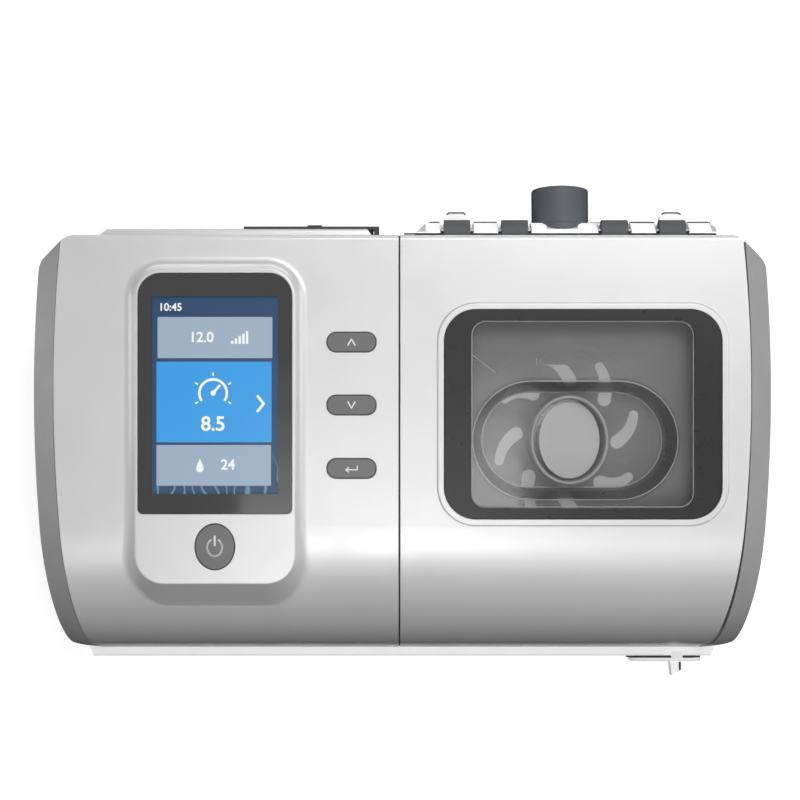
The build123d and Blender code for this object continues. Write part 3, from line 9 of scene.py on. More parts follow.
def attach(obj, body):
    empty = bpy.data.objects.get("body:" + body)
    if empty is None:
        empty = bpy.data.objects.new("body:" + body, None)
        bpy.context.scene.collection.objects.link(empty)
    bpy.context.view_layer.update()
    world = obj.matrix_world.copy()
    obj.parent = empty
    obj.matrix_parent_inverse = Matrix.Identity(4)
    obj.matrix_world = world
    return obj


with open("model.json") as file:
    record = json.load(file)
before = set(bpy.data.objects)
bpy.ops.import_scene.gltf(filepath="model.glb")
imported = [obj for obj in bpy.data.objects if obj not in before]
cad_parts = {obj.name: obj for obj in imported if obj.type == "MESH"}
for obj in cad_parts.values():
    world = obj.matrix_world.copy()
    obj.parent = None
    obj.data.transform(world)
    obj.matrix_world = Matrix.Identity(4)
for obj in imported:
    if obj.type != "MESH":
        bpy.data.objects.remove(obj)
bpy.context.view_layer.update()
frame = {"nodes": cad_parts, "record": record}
nodes = frame["nodes"]
scene = bpy.context.scene

# Lengths are in metres. X runs to the right, Y to the back and Z up.

# ---------------------------------------------------------------- the sloping top face
SLOPE = radians(5.0)
FACE_Y = 0.0133
FACE_Z = 0.090
FACE_NORMAL = Vector((0, -sin(SLOPE), cos(SLOPE)))
UP_SLOPE = Vector((0, cos(SLOPE), sin(SLOPE)))
FACE_POINT = Vector((0, FACE_Y, FACE_Z))

PAD_X = -0.0707
PAD_RISE = 0.0030
LCD_V = 0.0015
LCD_FACE = 0.0006            # height of the display panel over the top face
LCD_WIDTH = 0.0486
LCD_LENGTH = 0.0752
POWER_V = -0.0553
POWER_TOP = PAD_RISE + 0.0005
KEY_X = -0.0193
KEY_TOP = 0.0008
KEY_VS = {"up": 0.0219, "down": -0.0019, "enter": -0.0259}   # how far up the slope each key lies
PRINT = 0.00004              # thickness of printed symbols


def on_face(x, v, height=0.0):
    """A point on the top face: x across, v up the slope, height over it."""
    return FACE_POINT + Vector((x, 0, 0)) + UP_SLOPE * v + FACE_NORMAL * height


def face_matrix(x, v, height):
    """Local X runs across, local Y up the slope and local Z out of the face."""
    turn = Matrix((Vector((1, 0, 0)), UP_SLOPE, FACE_NORMAL)).transposed().to_4x4()
    return Matrix.Translation(on_face(x, v, height)) @ turn


# ---------------------------------------------------------------- camera
CAMERA_DISTANCE = 0.650      # over the top face, which it looks straight down at
CAMERA_LENS = 77.3           # in millimetres, as the sensor's width
SENSOR_WIDTH = 36.0
AIM_X = -0.00095

camera_data = bpy.data.cameras.new("camera")
camera_data.lens = CAMERA_LENS
camera_data.sensor_width = SENSOR_WIDTH
camera = bpy.data.objects.new("camera", camera_data)
scene.collection.objects.link(camera)
camera.matrix_world = face_matrix(AIM_X, 0, CAMERA_DISTANCE)
scene.camera = camera
scene.view_settings.view_transform = "Standard"
scene.view_settings.look = "None"


# ---------------------------------------------------------------- node helpers
def linear(level):
    """An sRGB level of 0 to 255 as a linear value."""
    c = level / 255
    return c / 12.92 if c <= 0.04045 else ((c + 0.055) / 1.055) ** 2.4


def rgb(r, g=None, b=None):
    """sRGB levels as a linear colour with alpha 1."""
    g = r if g is None else g
    b = r if b is None else b
    return (linear(r), linear(g), linear(b), 1.0)


NOISE_RANGE = (0.3, 0.7)     # most of a noise node's values lie between these


class Look:
    """One procedural material round a Principled shader."""

    def __init__(self, name, **values):
        self.material = bpy.data.materials.new(name)
        self.material.use_nodes = True
        self.tree = self.material.node_tree
        self.shader = self.tree.nodes["Principled BSDF"]
        for key, value in values.items():
            self.shader.inputs[key.replace("_", " ")].default_value = value
        self.place = self.node("ShaderNodeTexCoord").outputs["Object"]

    def node(self, kind, **settings):
        """A new node; a setting is one of its attributes, or else one of its inputs."""
        made = self.tree.nodes.new(kind)
        for key, value in settings.items():
            if hasattr(made, key):
                setattr(made, key, value)
            else:
                made.inputs[key.replace("_", " ")].default_value = value
        return made

    def link(self, source, target):
        self.tree.links.new(source, target)

    def axes(self):
        """The X, Y and Z outputs of the place on the surface."""
        parts = self.node("ShaderNodeSeparateXYZ")
        self.link(self.place, parts.inputs[0])
        return parts.outputs

    def noise(self, scale, detail=3.0, stretch=None, roughness=0.55):
        """Noise in metres: scale is the number of features per metre."""
        made = self.node("ShaderNodeTexNoise", Scale=scale, Detail=detail, Roughness=roughness)
        if stretch is None:
            self.link(self.place, made.inputs["Vector"])
        else:
            mapping = self.node("ShaderNodeMapping", Scale=stretch)
            self.link(self.place, mapping.inputs["Vector"])
            self.link(mapping.outputs["Vector"], made.inputs["Vector"])
        return made.outputs["Fac"]

    def ramp(self, source, low, high, start=0.0, end=1.0):
        """Maps a value from start..end to low..high."""
        made = self.node("ShaderNodeMapRange")
        self.link(source, made.inputs["Value"])
        made.inputs["From Min"].default_value = start
        made.inputs["From Max"].default_value = end
        made.inputs["To Min"].default_value = low
        made.inputs["To Max"].default_value = high
        return made.outputs["Result"]

    def math(self, operation, a, b=0.0):
        """One step of arithmetic on two numbers or sockets."""
        made = self.node("ShaderNodeMath", operation=operation)
        for index, value in enumerate((a, b)):
            if isinstance(value, (int, float)):
                made.inputs[index].default_value = value
            else:
                self.link(value, made.inputs[index])
        return made.outputs[0]

    def mix(self, factor, a, b):
        """Mixes two colours by a factor."""
        made = self.node("ShaderNodeMix", data_type="RGBA")
        self.link(factor, made.inputs["Factor"])
        for index, value in ((6, a), (7, b)):
            if isinstance(value, tuple):
                made.inputs[index].default_value = value
            else:
                self.link(value, made.inputs[index])
        return made.outputs[2]

    def colour(self, base, spread, scale):
        """Base colour that varies a little over the surface."""
        dark = tuple(c * (1 - spread) for c in base[:3]) + (1.0,)
        light = tuple(min(1.0, c * (1 + spread)) for c in base[:3]) + (1.0,)
        varied = self.mix(self.ramp(self.noise(scale), 0, 1, *NOISE_RANGE), dark, light)
        self.link(varied, self.shader.inputs["Base Color"])

    def rough(self, low, high, scale):
        """Roughness that varies between two values over the surface."""
        self.link(self.ramp(self.noise(scale, 5.0), low, high, *NOISE_RANGE),
                  self.shader.inputs["Roughness"])

    def bump(self, heights, distance, radius=0.0, strength=1.0):
        """Bump from the heights, over edges softened by the radius."""
        made = self.node("ShaderNodeBump", Strength=strength, Distance=distance)
        self.link(heights, made.inputs["Height"])
        if radius:
            edge = self.node("ShaderNodeBevel", samples=4, Radius=radius)
            self.link(edge.outputs["Normal"], made.inputs["Normal"])
        self.link(made.outputs["Normal"], self.shader.inputs["Normal"])


def moulded(name, base, low=0.38, high=0.5, grain=2600.0, depth=0.00002, spread=0.05, edge=0.0003,
            **values):
    """Moulded plastic with a fine spark-eroded grain, slight colour drift and softened edges.

    Its roughness lies between low and high, and grain is the number of grains per metre.
    """
    look = Look(name, **values)
    look.colour(base, spread, 60.0)
    look.rough(low, high, 140.0)
    look.bump(look.noise(grain, 2.0), depth, edge, 0.6)
    return look


# ---------------------------------------------------------------- materials
looks = {}

# painted light: the parts that are close to white in the photograph glow faintly, though they are no
# lamps
PAINTED_GLOW = {"Emission_Color": rgb(250), "Emission_Strength": 0.25}
PLINTH_PAINTED_GLOW = {"Emission_Color": rgb(250), "Emission_Strength": 0.3}

shell = Look("pearl_lacquer", Metallic=0.25, IOR=1.5, Coat_Weight=0.2, Coat_Roughness=0.2)
shell.colour(rgb(229, 229, 230), 0.012, 35.0)
flake = shell.noise(5200.0, 2.0)
shell.rough(0.30, 0.36, 90.0)
shell.bump(flake, 0.000006, 0.0004, 0.5)
looks["shell"] = shell

# painted light: the plinth glows faintly
looks["plinth"] = moulded("plinth_white", rgb(250), 0.4, 0.5, spread=0.01, **PLINTH_PAINTED_GLOW)
looks["end_cap"] = moulded("end_cap_grey", rgb(187, 187, 188), 0.42, 0.52, spread=0.03,
                           Metallic=0.15)
looks["filter_door"] = moulded("door_charcoal", rgb(62, 62, 64), 0.45, 0.6)
looks["button_grey"] = moulded("button_grey", rgb(112, 112, 113), 0.34, 0.46, 3400.0, 0.00001,
                               Coat_Weight=0.2, Coat_Roughness=0.25)
looks["switch_black"] = moulded("black_nylon", rgb(34, 34, 36), 0.4, 0.55)
looks["rubber"] = moulded("black_rubber", rgb(42, 42, 43), 0.7, 0.85, 1800.0, 0.00004)
looks["inner_plastic"] = moulded("inner_grey", rgb(150, 151, 153), 0.4, 0.5)
looks["card"] = moulded("card_blue", rgb(38, 58, 96), 0.35, 0.5)
looks["slate"] = moulded("slate_plastic", rgb(90, 93, 99), 0.52, 0.62, 2400.0)
looks["hinge_grey"] = moulded("hinge_slate", rgb(84, 85, 89), 0.5, 0.6, 2400.0)
# painted light: the white plastic and the lock glow faintly
looks["white_plastic"] = moulded("white_plastic", rgb(246), 0.3, 0.42, spread=0.01, **PAINTED_GLOW)
looks["lock_grey"] = moulded("lock_white", rgb(250), 0.4, 0.5, spread=0.01, **PAINTED_GLOW)
looks["frame_dark"] = moulded("frame_gloss", rgb(50, 50, 51), 0.27, 0.29, 3000.0, 0.0000005,
                              spread=0.02, edge=0.0, IOR=1.4)
looks["circuit_board"] = moulded("solder_mask", rgb(18, 84, 48), 0.2, 0.35, 800.0, 0.00001,
                                 spread=0.12, Coat_Weight=0.4)

steel = Look("brushed_steel", Metallic=1.0)
steel.colour(rgb(186, 186, 188), 0.08, 300.0)
steel.rough(0.25, 0.42, 400.0)
steel.bump(steel.noise(900.0, 3.0, (1.0, 1.0, 12.0)), 0.00001, 0.0002, 0.5)
looks["steel"] = steel

aluminium = Look("turned_aluminium", Metallic=1.0)
aluminium.colour(rgb(200, 200, 202), 0.05, 200.0)
aluminium.rough(0.28, 0.4, 300.0)
aluminium.bump(aluminium.noise(1500.0, 2.0), 0.00001, 0.0003, 0.5)
looks["aluminium"] = aluminium

iron = Look("rotor_iron", Metallic=0.9)
iron.colour(rgb(96, 96, 98), 0.15, 400.0)
iron.rough(0.4, 0.6, 300.0)
iron.bump(iron.noise(1200.0), 0.00002, 0.0002)
looks["rotor_iron"] = iron

foam = Look("open_foam", Roughness=0.95)
foam.colour(rgb(58, 58, 60), 0.35, 900.0)
foam.bump(foam.noise(1300.0, 4.0), 0.0006)
looks["foam"] = foam

smoke = Look("smoked_chamber", Roughness=0.16, IOR=1.49, Alpha=0.28)
smoke.colour(rgb(190, 190, 191), 0.04, 80.0)
smoke.bump(smoke.noise(260.0, 2.0), 0.00002, 0.0005, 0.5)
looks["smoke_plastic"] = smoke

# only the mirror part of the pane is wanted, so its thin reflecting layer is metallic
clear = Look("clear_window", Metallic=1.0, Alpha=0.04)
clear.colour(rgb(240, 240, 241), 0.02, 25.0)
clear.rough(0.05, 0.07, 60.0)
looks["clear_pane"] = clear

PRINT_LAP = 0.0004           # the glass's dark print laps this far over the display's edge
OPENING_ALPHA = 0.03         # of the glass inside the print


def glass_look():
    """Smoked glass: opaque dark print round a clear opening over the display."""
    look = Look("display_glass", IOR=1.46, Roughness=0.07)
    look.colour(rgb(73, 73, 74), 0.03, 30.0)
    place = look.axes()
    across = look.math("ABSOLUTE", look.math("SUBTRACT", place["X"], PAD_X))
    along = look.math("ABSOLUTE", look.math("SUBTRACT", place["Y"], on_face(PAD_X, LCD_V).y))
    half_length = cos(SLOPE) * (LCD_LENGTH / 2 - PRINT_LAP)
    inside = look.math("MULTIPLY",
                       look.math("LESS_THAN", across, LCD_WIDTH / 2 - PRINT_LAP),
                       look.math("LESS_THAN", along, half_length))
    look.link(look.ramp(inside, 1.0, OPENING_ALPHA), look.shader.inputs["Alpha"])
    return look


looks["bezel_glass"] = glass_look()

PIXELS = 7000.0              # per metre


def screen_look(name, low, high, lines=0.0):
    """A lit display surface with a fine pixel grid and a soft gradient up the screen.

    Lines is the strength of the faint waves along the lower edge.
    """
    look = Look(name, Roughness=0.3, Emission_Strength=1.0)
    bottom = on_face(0, LCD_V - LCD_LENGTH / 2).y
    top = on_face(0, LCD_V + LCD_LENGTH / 2).y
    height = look.ramp(look.axes()["Y"], 0, 1, bottom, top)
    tint = look.mix(height, low, high)
    if lines:
        wave = look.node("ShaderNodeTexWave", Scale=70.0, Distortion=9.0, Detail=1.0)
        look.link(look.place, wave.inputs["Vector"])
        fade = look.math("MULTIPLY", look.ramp(wave.outputs["Fac"], 0, lines, 0.86, 1.0),
                         look.ramp(height, 1.0, 0.0, 0.0, 0.25))
        tint = look.mix(fade, tint, rgb(150, 190, 220))
    grid = look.noise(PIXELS, 1.0)
    tint = look.mix(look.ramp(grid, 0.0, 0.05), tint, rgb(0))
    look.shader.inputs["Base Color"].default_value = (0.01, 0.01, 0.012, 1.0)
    look.link(tint, look.shader.inputs["Emission Color"])
    return look


looks["screen"] = screen_look("screen_navy", rgb(43, 74, 104), rgb(30, 66, 104), lines=0.5)
screen_tile = screen_look("screen_tile", rgb(158, 176, 197), rgb(160, 178, 198))
screen_blue = screen_look("screen_blue", rgb(54, 161, 233), rgb(48, 156, 231))
screen_white = screen_look("screen_white", rgb(250, 252, 254), rgb(250, 252, 254))

ink = moulded("white_ink", rgb(240), 0.4, 0.55, spread=0.02, edge=0.0)
# painted light: the baffle's pads glow faintly
baffle_pad = moulded("pale_pad_glow", rgb(246, 246, 247), 0.4, 0.55, spread=0.03, **PAINTED_GLOW)
port_mesh = moulded("port_mesh", rgb(190, 190, 191), 0.4, 0.55, spread=0.03)
# dark for the seal between the modules, and painted shadow for the shadow lines of the lock, the tab,
# the ledge, the lid and the catches
seal_and_shadow = moulded("seal_and_shadow_dark", rgb(58, 58, 60), 0.5, 0.6, spread=0.03, edge=0.0)
well_skin = moulded("well_wall_tint", rgb(88, 88, 89), 0.25, 0.35, spread=0.04, edge=0.0, Alpha=0.82)
# painted highlight: pale lines that stand for light caught on the edges of the well, the port and the
# pane
highlight_bead = moulded("painted_highlight_bead", rgb(196, 197, 198), 0.15, 0.25, spread=0.03, edge=0.0, Alpha=0.75)

for subpart in frame["record"]["subparts"]:
    node = nodes[subpart["node"]]
    node.data.materials.clear()
    node.data.materials.append(looks[subpart["material_slot"]].material)


# ---------------------------------------------------------------- mesh helpers
def piece_of(name, mesh, look, body):
    """Turns a mesh into a piece with one look, which rides on a body."""
    mesh.materials.clear()
    mesh.materials.append(look.material)
    made = bpy.data.objects.new(name, mesh)
    scene.collection.objects.link(made)
    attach(made, body)


def piece_from(name, bm, look, body, matrix=None):
    """Turns a bmesh into a piece that rides on a body."""
    mesh = bpy.data.meshes.new(name)
    bmesh.ops.recalc_face_normals(bm, faces=bm.faces)
    bm.to_mesh(mesh)
    bm.free()
    if matrix is not None:
        mesh.transform(matrix)
    piece_of(name, mesh, look, body)


def mesh_of_curve(name, curve):
    """The surface of a curve or text, as a mesh of its own."""
    holder = bpy.data.objects.new(name + "_curve", curve)
    mesh = bpy.data.meshes.new_from_object(holder)
    mesh.name = name
    bpy.data.objects.remove(holder)
    return mesh


def bridge(bm, low, high):
    """Faces all round between two rings of vertices."""
    count = len(low)
    for i in range(count):
        j = (i + 1) % count
        bm.faces.new((low[i], low[j], high[j], high[i]))


def slab(bm, low_outline, high_outline):
    """A closed solid between two outlines that have the same number of points."""
    low = [bm.verts.new(point) for point in low_outline]
    high = [bm.verts.new(point) for point in high_outline]
    bm.faces.new(low)
    bm.faces.new(high)
    bridge(bm, low, high)


def plate(bm, outline, thickness):
    """A flat plate from a closed outline, standing from z 0 to its thickness."""
    slab(bm, [(x, y, 0) for x, y in outline], [(x, y, thickness) for x, y in outline])


def oval(half_width, half_length, steps=64):
    """The outline of an ellipse."""
    turns = [2 * pi * step / steps for step in range(steps)]
    return [(half_width * cos(turn), half_length * sin(turn)) for turn in turns]


def rounded(width, length, radius, steps=8):
    """The outline of a rectangle with round corners."""
    points = []
    for corner, (sx, sy) in enumerate(((1, 1), (-1, 1), (-1, -1), (1, -1))):
        for step in range(steps + 1):
            a = (corner + step / steps) * pi / 2
            points.append((sx * (width / 2 - radius) + radius * cos(a),
                           sy * (length / 2 - radius) + radius * sin(a)))
    return points


def stroke(bm, points, width, thickness=PRINT, steps=6):
    """A ribbon of even width along a path, made as one plate for each stretch with round ends."""
    for start, end in zip(points, points[1:]):
        a = Vector(start)
        b = Vector(end)
        along = (b - a).normalized()
        side = Vector((-along.y, along.x)) * width / 2
        outline = []
        for centre, first_angle in ((b, -pi / 2), (a, pi / 2)):
            for step in range(steps + 1):
                turn = first_angle + pi * step / steps
                outline.append(centre + along * cos(turn) * width / 2 + side * sin(turn))
        plate(bm, outline, thickness)


def tube_along(name, points, radius, look, body, closed=False, resolution=3):
    """A round bead along a path of points, as a mesh."""
    curve = bpy.data.curves.new(name, "CURVE")
    curve.dimensions = "3D"
    curve.bevel_depth = radius
    curve.bevel_resolution = resolution
    curve.use_fill_caps = not closed
    spline = curve.splines.new("POLY")
    spline.points.add(len(points) - 1)
    for point, place in zip(spline.points, points):
        point.co = (*place, 1.0)
    spline.use_cyclic_u = closed
    mesh = mesh_of_curve(name, curve)
    for face in mesh.polygons:
        face.use_smooth = True
    piece_of(name, mesh, look, body)


# ---------------------------------------------------------------- button symbols
ENTER_WIDTH = 0.0044
ENTER_LENGTH = 0.0019
ENTER_LINE = 0.00045
CHEVRON_WIDTH = 0.0027
CHEVRON_LENGTH = 0.0024
CHEVRON_LINE = 0.00050


def chevron(bm, pointing):
    """A two-stroke arrowhead that points up (1) or down (-1)."""
    tip = pointing * CHEVRON_LENGTH / 2
    stroke(bm, [(-CHEVRON_WIDTH / 2, -tip), (0, tip), (CHEVRON_WIDTH / 2, -tip)], CHEVRON_LINE)


def enter_arrow(bm):
    """A return arrow: down at the right, then left to a small head."""
    side = ENTER_WIDTH / 2
    shaft = -ENTER_LENGTH / 4
    stroke(bm, [(side, ENTER_LENGTH / 2), (side, shaft), (-side, shaft)], ENTER_LINE)
    stroke(bm, [(-side / 2, ENTER_LENGTH / 5), (-side, shaft), (-side / 2, -ENTER_LENGTH * 0.7)],
           ENTER_LINE)


for name, v in KEY_VS.items():
    bm = bmesh.new()
    if name == "enter":
        enter_arrow(bm)
    else:
        chevron(bm, 1 if name == "up" else -1)
    piece_from(name + "_symbol", bm, ink, name, face_matrix(KEY_X, v, KEY_TOP))

POWER_HALF_WIDTH = 0.0028
POWER_HALF_LENGTH = 0.0033
POWER_LINE = 0.00072
POWER_GAP = 33               # half of the gap at the top, in degrees
POWER_DROP = 0.0002          # the ring lies this far under the middle of the symbol
POWER_STEM = (0.0006, 0.0040)
POWER_STEPS = 40

ring = []
for step in range(POWER_STEPS + 1):
    a = radians(90 + POWER_GAP + (360 - 2 * POWER_GAP) * step / POWER_STEPS)
    ring.append((POWER_HALF_WIDTH * cos(a), POWER_HALF_LENGTH * sin(a) - POWER_DROP))
bm = bmesh.new()
stroke(bm, ring, POWER_LINE)
stroke(bm, [(0, v) for v in POWER_STEM], POWER_LINE)
piece_from("power_symbol", bm, ink, "power",
           face_matrix(PAD_X, POWER_V, POWER_TOP))


# ---------------------------------------------------------------- display content
LAYER = 0.00005              # the tiles lie this far over the display panel
TILE_HEIGHT = LCD_FACE + LAYER
TEXT_HEIGHT = TILE_HEIGHT + PRINT
TILE_RADIUS = 0.0003
FIGURE_WEIGHT = 0.02         # how much bolder the figures are drawn, as a share of their size

# name, left, right, low, high, look
TILES = (("screen_tile_high", -0.0926, -0.0492, 0.0158, 0.0314, screen_tile),
         ("screen_tile_middle", -0.0930, -0.0495, -0.0160, 0.0145, screen_blue),
         ("screen_tile_low", -0.0930, -0.0497, -0.0324, -0.0170, screen_tile))

# name, figures, size, x, v, align
FIGURES = (("screen_time", "10:45", 0.0040, -0.0922, 0.0350, "LEFT"),
           ("screen_value_high", "12.0", 0.0054, -0.0760, 0.0236, "CENTER"),
           ("screen_value_middle", "8.5", 0.0076, -0.0716, -0.0092, "CENTER"),
           ("screen_value_low", "24", 0.0054, -0.0660, -0.0246, "CENTER"))
BARS_PLACE = (-0.0648, 0.0212)
DIAL_PLACE = (-0.0716, 0.0026)
ARROW_PLACE = (-0.0536, -0.0014)
DROP_PLACE = (-0.0766, -0.0246)


def tile(name, left, right, low, high, look):
    """A coloured tile of the menu."""
    bm = bmesh.new()
    plate(bm, rounded(right - left, high - low, TILE_RADIUS), PRINT)
    piece_from(name, bm, look, "root",
               face_matrix((left + right) / 2, (low + high) / 2, TILE_HEIGHT))


def digits(name, text, size, x, v, align):
    """Plain figures, cut out of a thin plate on the display."""
    curve = bpy.data.curves.new(name, "FONT")
    curve.body = text
    curve.size = size
    curve.align_x = align
    curve.align_y = "CENTER"
    curve.extrude = PRINT / 2
    curve.offset = size * FIGURE_WEIGHT
    mesh = mesh_of_curve(name, curve)
    mesh.transform(face_matrix(x, v, TEXT_HEIGHT + PRINT / 2))
    piece_of(name, mesh, screen_white, "root")


def sign(name, bm, place):
    """A white sign on the display."""
    piece_from(name, bm, screen_white, "root", face_matrix(*place, TEXT_HEIGHT))


for row in TILES:
    tile(*row)
for row in FIGURES:
    digits(*row)

# a row of level bars beside the upper figure
BAR_COUNT = 5
BAR_WIDTH = 0.0009
BAR_PITCH = 0.0014
BAR_HEIGHT = 0.0012          # of the first bar
BAR_GROWTH = 0.0009
bm = bmesh.new()
for count in range(BAR_COUNT):
    height = BAR_HEIGHT + BAR_GROWTH * count
    x = BAR_PITCH * count
    plate(bm, [(x, 0), (x + BAR_WIDTH, 0), (x + BAR_WIDTH, height), (x, height)], PRINT)
sign("screen_level_bars", bm, BARS_PLACE)

# a dial in the middle tile, with a needle, a hub and rays
DIAL_RADIUS = 0.0052
DIAL_LINE = 0.00095
DIAL_START = 210             # degrees, and then clockwise
DIAL_SWEEP = 240
DIAL_STEPS = 24
NEEDLE_TIP = (0.0024, 0.0028)
NEEDLE_LINE = 0.0009
HUB_RADIUS = 0.0010
HUB_STEPS = 24
HUB_THICKNESS = PRINT * 1.2
RAY_INNER = 0.0068
RAY_OUTER = 0.0076
RAY_LINE = 0.0006
RAY_COUNT = 5
dial = []
for step in range(DIAL_STEPS + 1):
    a = radians(DIAL_START - DIAL_SWEEP * step / DIAL_STEPS)
    dial.append((DIAL_RADIUS * cos(a), DIAL_RADIUS * sin(a)))
bm = bmesh.new()
stroke(bm, dial, DIAL_LINE)
stroke(bm, [(0, 0), NEEDLE_TIP], NEEDLE_LINE)
plate(bm, oval(HUB_RADIUS, HUB_RADIUS, HUB_STEPS), HUB_THICKNESS)
for count in range(RAY_COUNT):
    a = radians(DIAL_START - DIAL_SWEEP * count / (RAY_COUNT - 1))
    stroke(bm, [(r * cos(a), r * sin(a)) for r in (RAY_INNER, RAY_OUTER)], RAY_LINE)
sign("screen_dial", bm, DIAL_PLACE)

# an arrowhead at the right of the middle tile
ARROW_HALF_WIDTH = 0.0011
ARROW_HALF_LENGTH = 0.0028
ARROW_LINE = 0.0010
bm = bmesh.new()
stroke(bm, [(-ARROW_HALF_WIDTH, ARROW_HALF_LENGTH), (ARROW_HALF_WIDTH, 0),
            (-ARROW_HALF_WIDTH, -ARROW_HALF_LENGTH)], ARROW_LINE)
sign("screen_chevron", bm, ARROW_PLACE)

# a drop beside the lower figure
DROP_HALF_WIDTH = 0.0021
DROP_HALF_LENGTH = 0.0027
DROP_STEPS = 32
drop = []
for step in range(DROP_STEPS):
    a = 2 * pi * step / DROP_STEPS
    narrow = 0.5 * (1 - cos(a))
    drop.append((DROP_HALF_WIDTH * sin(a) * narrow, DROP_HALF_LENGTH * cos(a)))
bm = bmesh.new()
plate(bm, drop, PRINT)
sign("screen_drop", bm, DROP_PLACE)


# ---------------------------------------------------------------- inside the water chamber
ROOF = -0.012                # the chamber's roof lies this far under the top face
WELL_X = 0.0666
WELL_V = -0.0156
WELL_WIDTH = 0.0788
WELL_LENGTH = 0.0454
WELL_DEPTH = 0.014
WELL_FLOOR = ROOF - WELL_DEPTH
FLOOR_INSET = 0.0040         # the well's drafted wall ends this far inside its rim
PORT_X = WELL_X - 0.0015
PORT_TOP = WELL_FLOOR + 0.006
BAFFLE_Z = 0.040
BAFFLE_TOP = BAFFLE_Z + 0.0016

# the pads follow the baffle's slots: each circle's distance from the middle, turn and radius
SWIRL_PATH = ((0.0238, 0.0, 0.0029), (0.0294, 10.0, 0.0025), (0.0331, 20.3, 0.0020))
SWIRL_SQUASH = 0.86
SWIRL_START = -4.0           # degrees, where the first pad's wide end lies
SWIRL_SLOTS = 8
SWIRL_GAP = 0.0002           # a pad is this much smaller all round than its slot
SWIRL_SAMPLES = 12
SWIRL_END_STEPS = 8
SWIRL_CUT = 0.0298           # left of SWIRL_CUT_X no pad reaches further back than this
SWIRL_CUT_X = 0.008
BAFFLE_PAD_THICKNESS = 0.0012
BAFFLE_PAD_SINK = 0.0006     # how deep a pad stands in its slot


def bend_through(first, middle, last, t):
    """The point and the direction at t, from 0 to 1, on the smooth curve through three points."""
    point = first * (2 * (t - 0.5) * (t - 1)) + middle * (-4 * t * (t - 1)) + last * (2 * t * (t - 0.5))
    ahead = first * (4 * t - 3) + middle * (4 - 8 * t) + last * (4 * t - 1)
    return point, ahead.normalized()


def round_end(start, centre):
    """Points of the half circle that runs clockwise from the start round the centre."""
    arm = start - centre
    points = []
    for step in range(1, SWIRL_END_STEPS):
        a = -pi * step / SWIRL_END_STEPS
        turned = Vector((arm.x * cos(a) - arm.y * sin(a), arm.x * sin(a) + arm.y * cos(a)))
        points.append((centre.x + turned.x, centre.y + turned.y))
    return points


def swirl_outline(turn):
    """The outline of one curved pad, from a path of three circles as its slot has."""
    centres = []
    halves = []
    for radius, angle, half in SWIRL_PATH:
        a = radians(SWIRL_START + turn + angle)
        centres.append(Vector((SWIRL_SQUASH * radius * cos(a), radius * sin(a))))
        halves.append(half - SWIRL_GAP)
    left = []
    right = []
    for step in range(SWIRL_SAMPLES + 1):
        t = step / SWIRL_SAMPLES
        place, ahead = bend_through(*centres, t)
        stretch = min(int(2 * t), 1)
        share = 2 * t - stretch
        half = halves[stretch] * (1 - share) + halves[stretch + 1] * share
        side = Vector((-ahead.y, ahead.x)) * half
        left.append(place + side)
        right.append(place - side)
    outline = [(point.x, point.y) for point in left]
    outline += round_end(left[-1], (left[-1] + right[-1]) / 2)
    outline += [(point.x, point.y) for point in reversed(right)]
    outline += round_end(right[0], (left[0] + right[0]) / 2)
    return outline


bm = bmesh.new()
for count in range(SWIRL_SLOTS):
    outline = swirl_outline(count * 360 / SWIRL_SLOTS)
    plate(bm, [(x, min(y, SWIRL_CUT) if x < SWIRL_CUT_X else y) for x, y in outline],
          BAFFLE_PAD_THICKNESS)
swirl_y = on_face(0, WELL_V, BAFFLE_Z - FACE_Z).y
piece_from("baffle_pads", bm, baffle_pad, "root",
           Matrix.Translation((WELL_X, swirl_y, BAFFLE_TOP - BAFFLE_PAD_SINK)))


def well_ring(inset, height, steps=24):
    """Points round the well, this far inside its rim and parallel to the top face."""
    half = WELL_LENGTH / 2 - inset
    reach = (WELL_WIDTH - WELL_LENGTH) / 2
    points = []
    for side in (1, -1):
        for step in range(steps + 1):
            a = -pi / 2 + pi * step / steps
            points.append(on_face(WELL_X + side * (reach + half * cos(a)),
                                  WELL_V + side * half * sin(a), height))
    return points


# inset and height of the two painted highlight lines, and of the edges of the tinted skin between them
RIM_HIGHLIGHT = (-0.0002, ROOF + 0.0001)
SKIN_TOP = (0.0003, ROOF - 0.0002)
SKIN_FOOT = (FLOOR_INSET - 0.0002, WELL_FLOOR + 0.0004)
FLOOR_HIGHLIGHT = (FLOOR_INSET, WELL_FLOOR + 0.0003)
RIM_HIGHLIGHT_RADIUS = 0.00028
FLOOR_HIGHLIGHT_RADIUS = 0.00030
tube_along("well_rim_highlight", well_ring(*RIM_HIGHLIGHT), RIM_HIGHLIGHT_RADIUS, highlight_bead, "root",
           closed=True)
bm = bmesh.new()
skin_top = [bm.verts.new(point) for point in well_ring(*SKIN_TOP)]
skin_foot = [bm.verts.new(point) for point in well_ring(*SKIN_FOOT)]
bridge(bm, skin_top, skin_foot)
piece_from("well_wall_skin", bm, well_skin, "root")
tube_along("well_floor_highlight", well_ring(*FLOOR_HIGHLIGHT), FLOOR_HIGHLIGHT_RADIUS, highlight_bead,
           "root", closed=True)

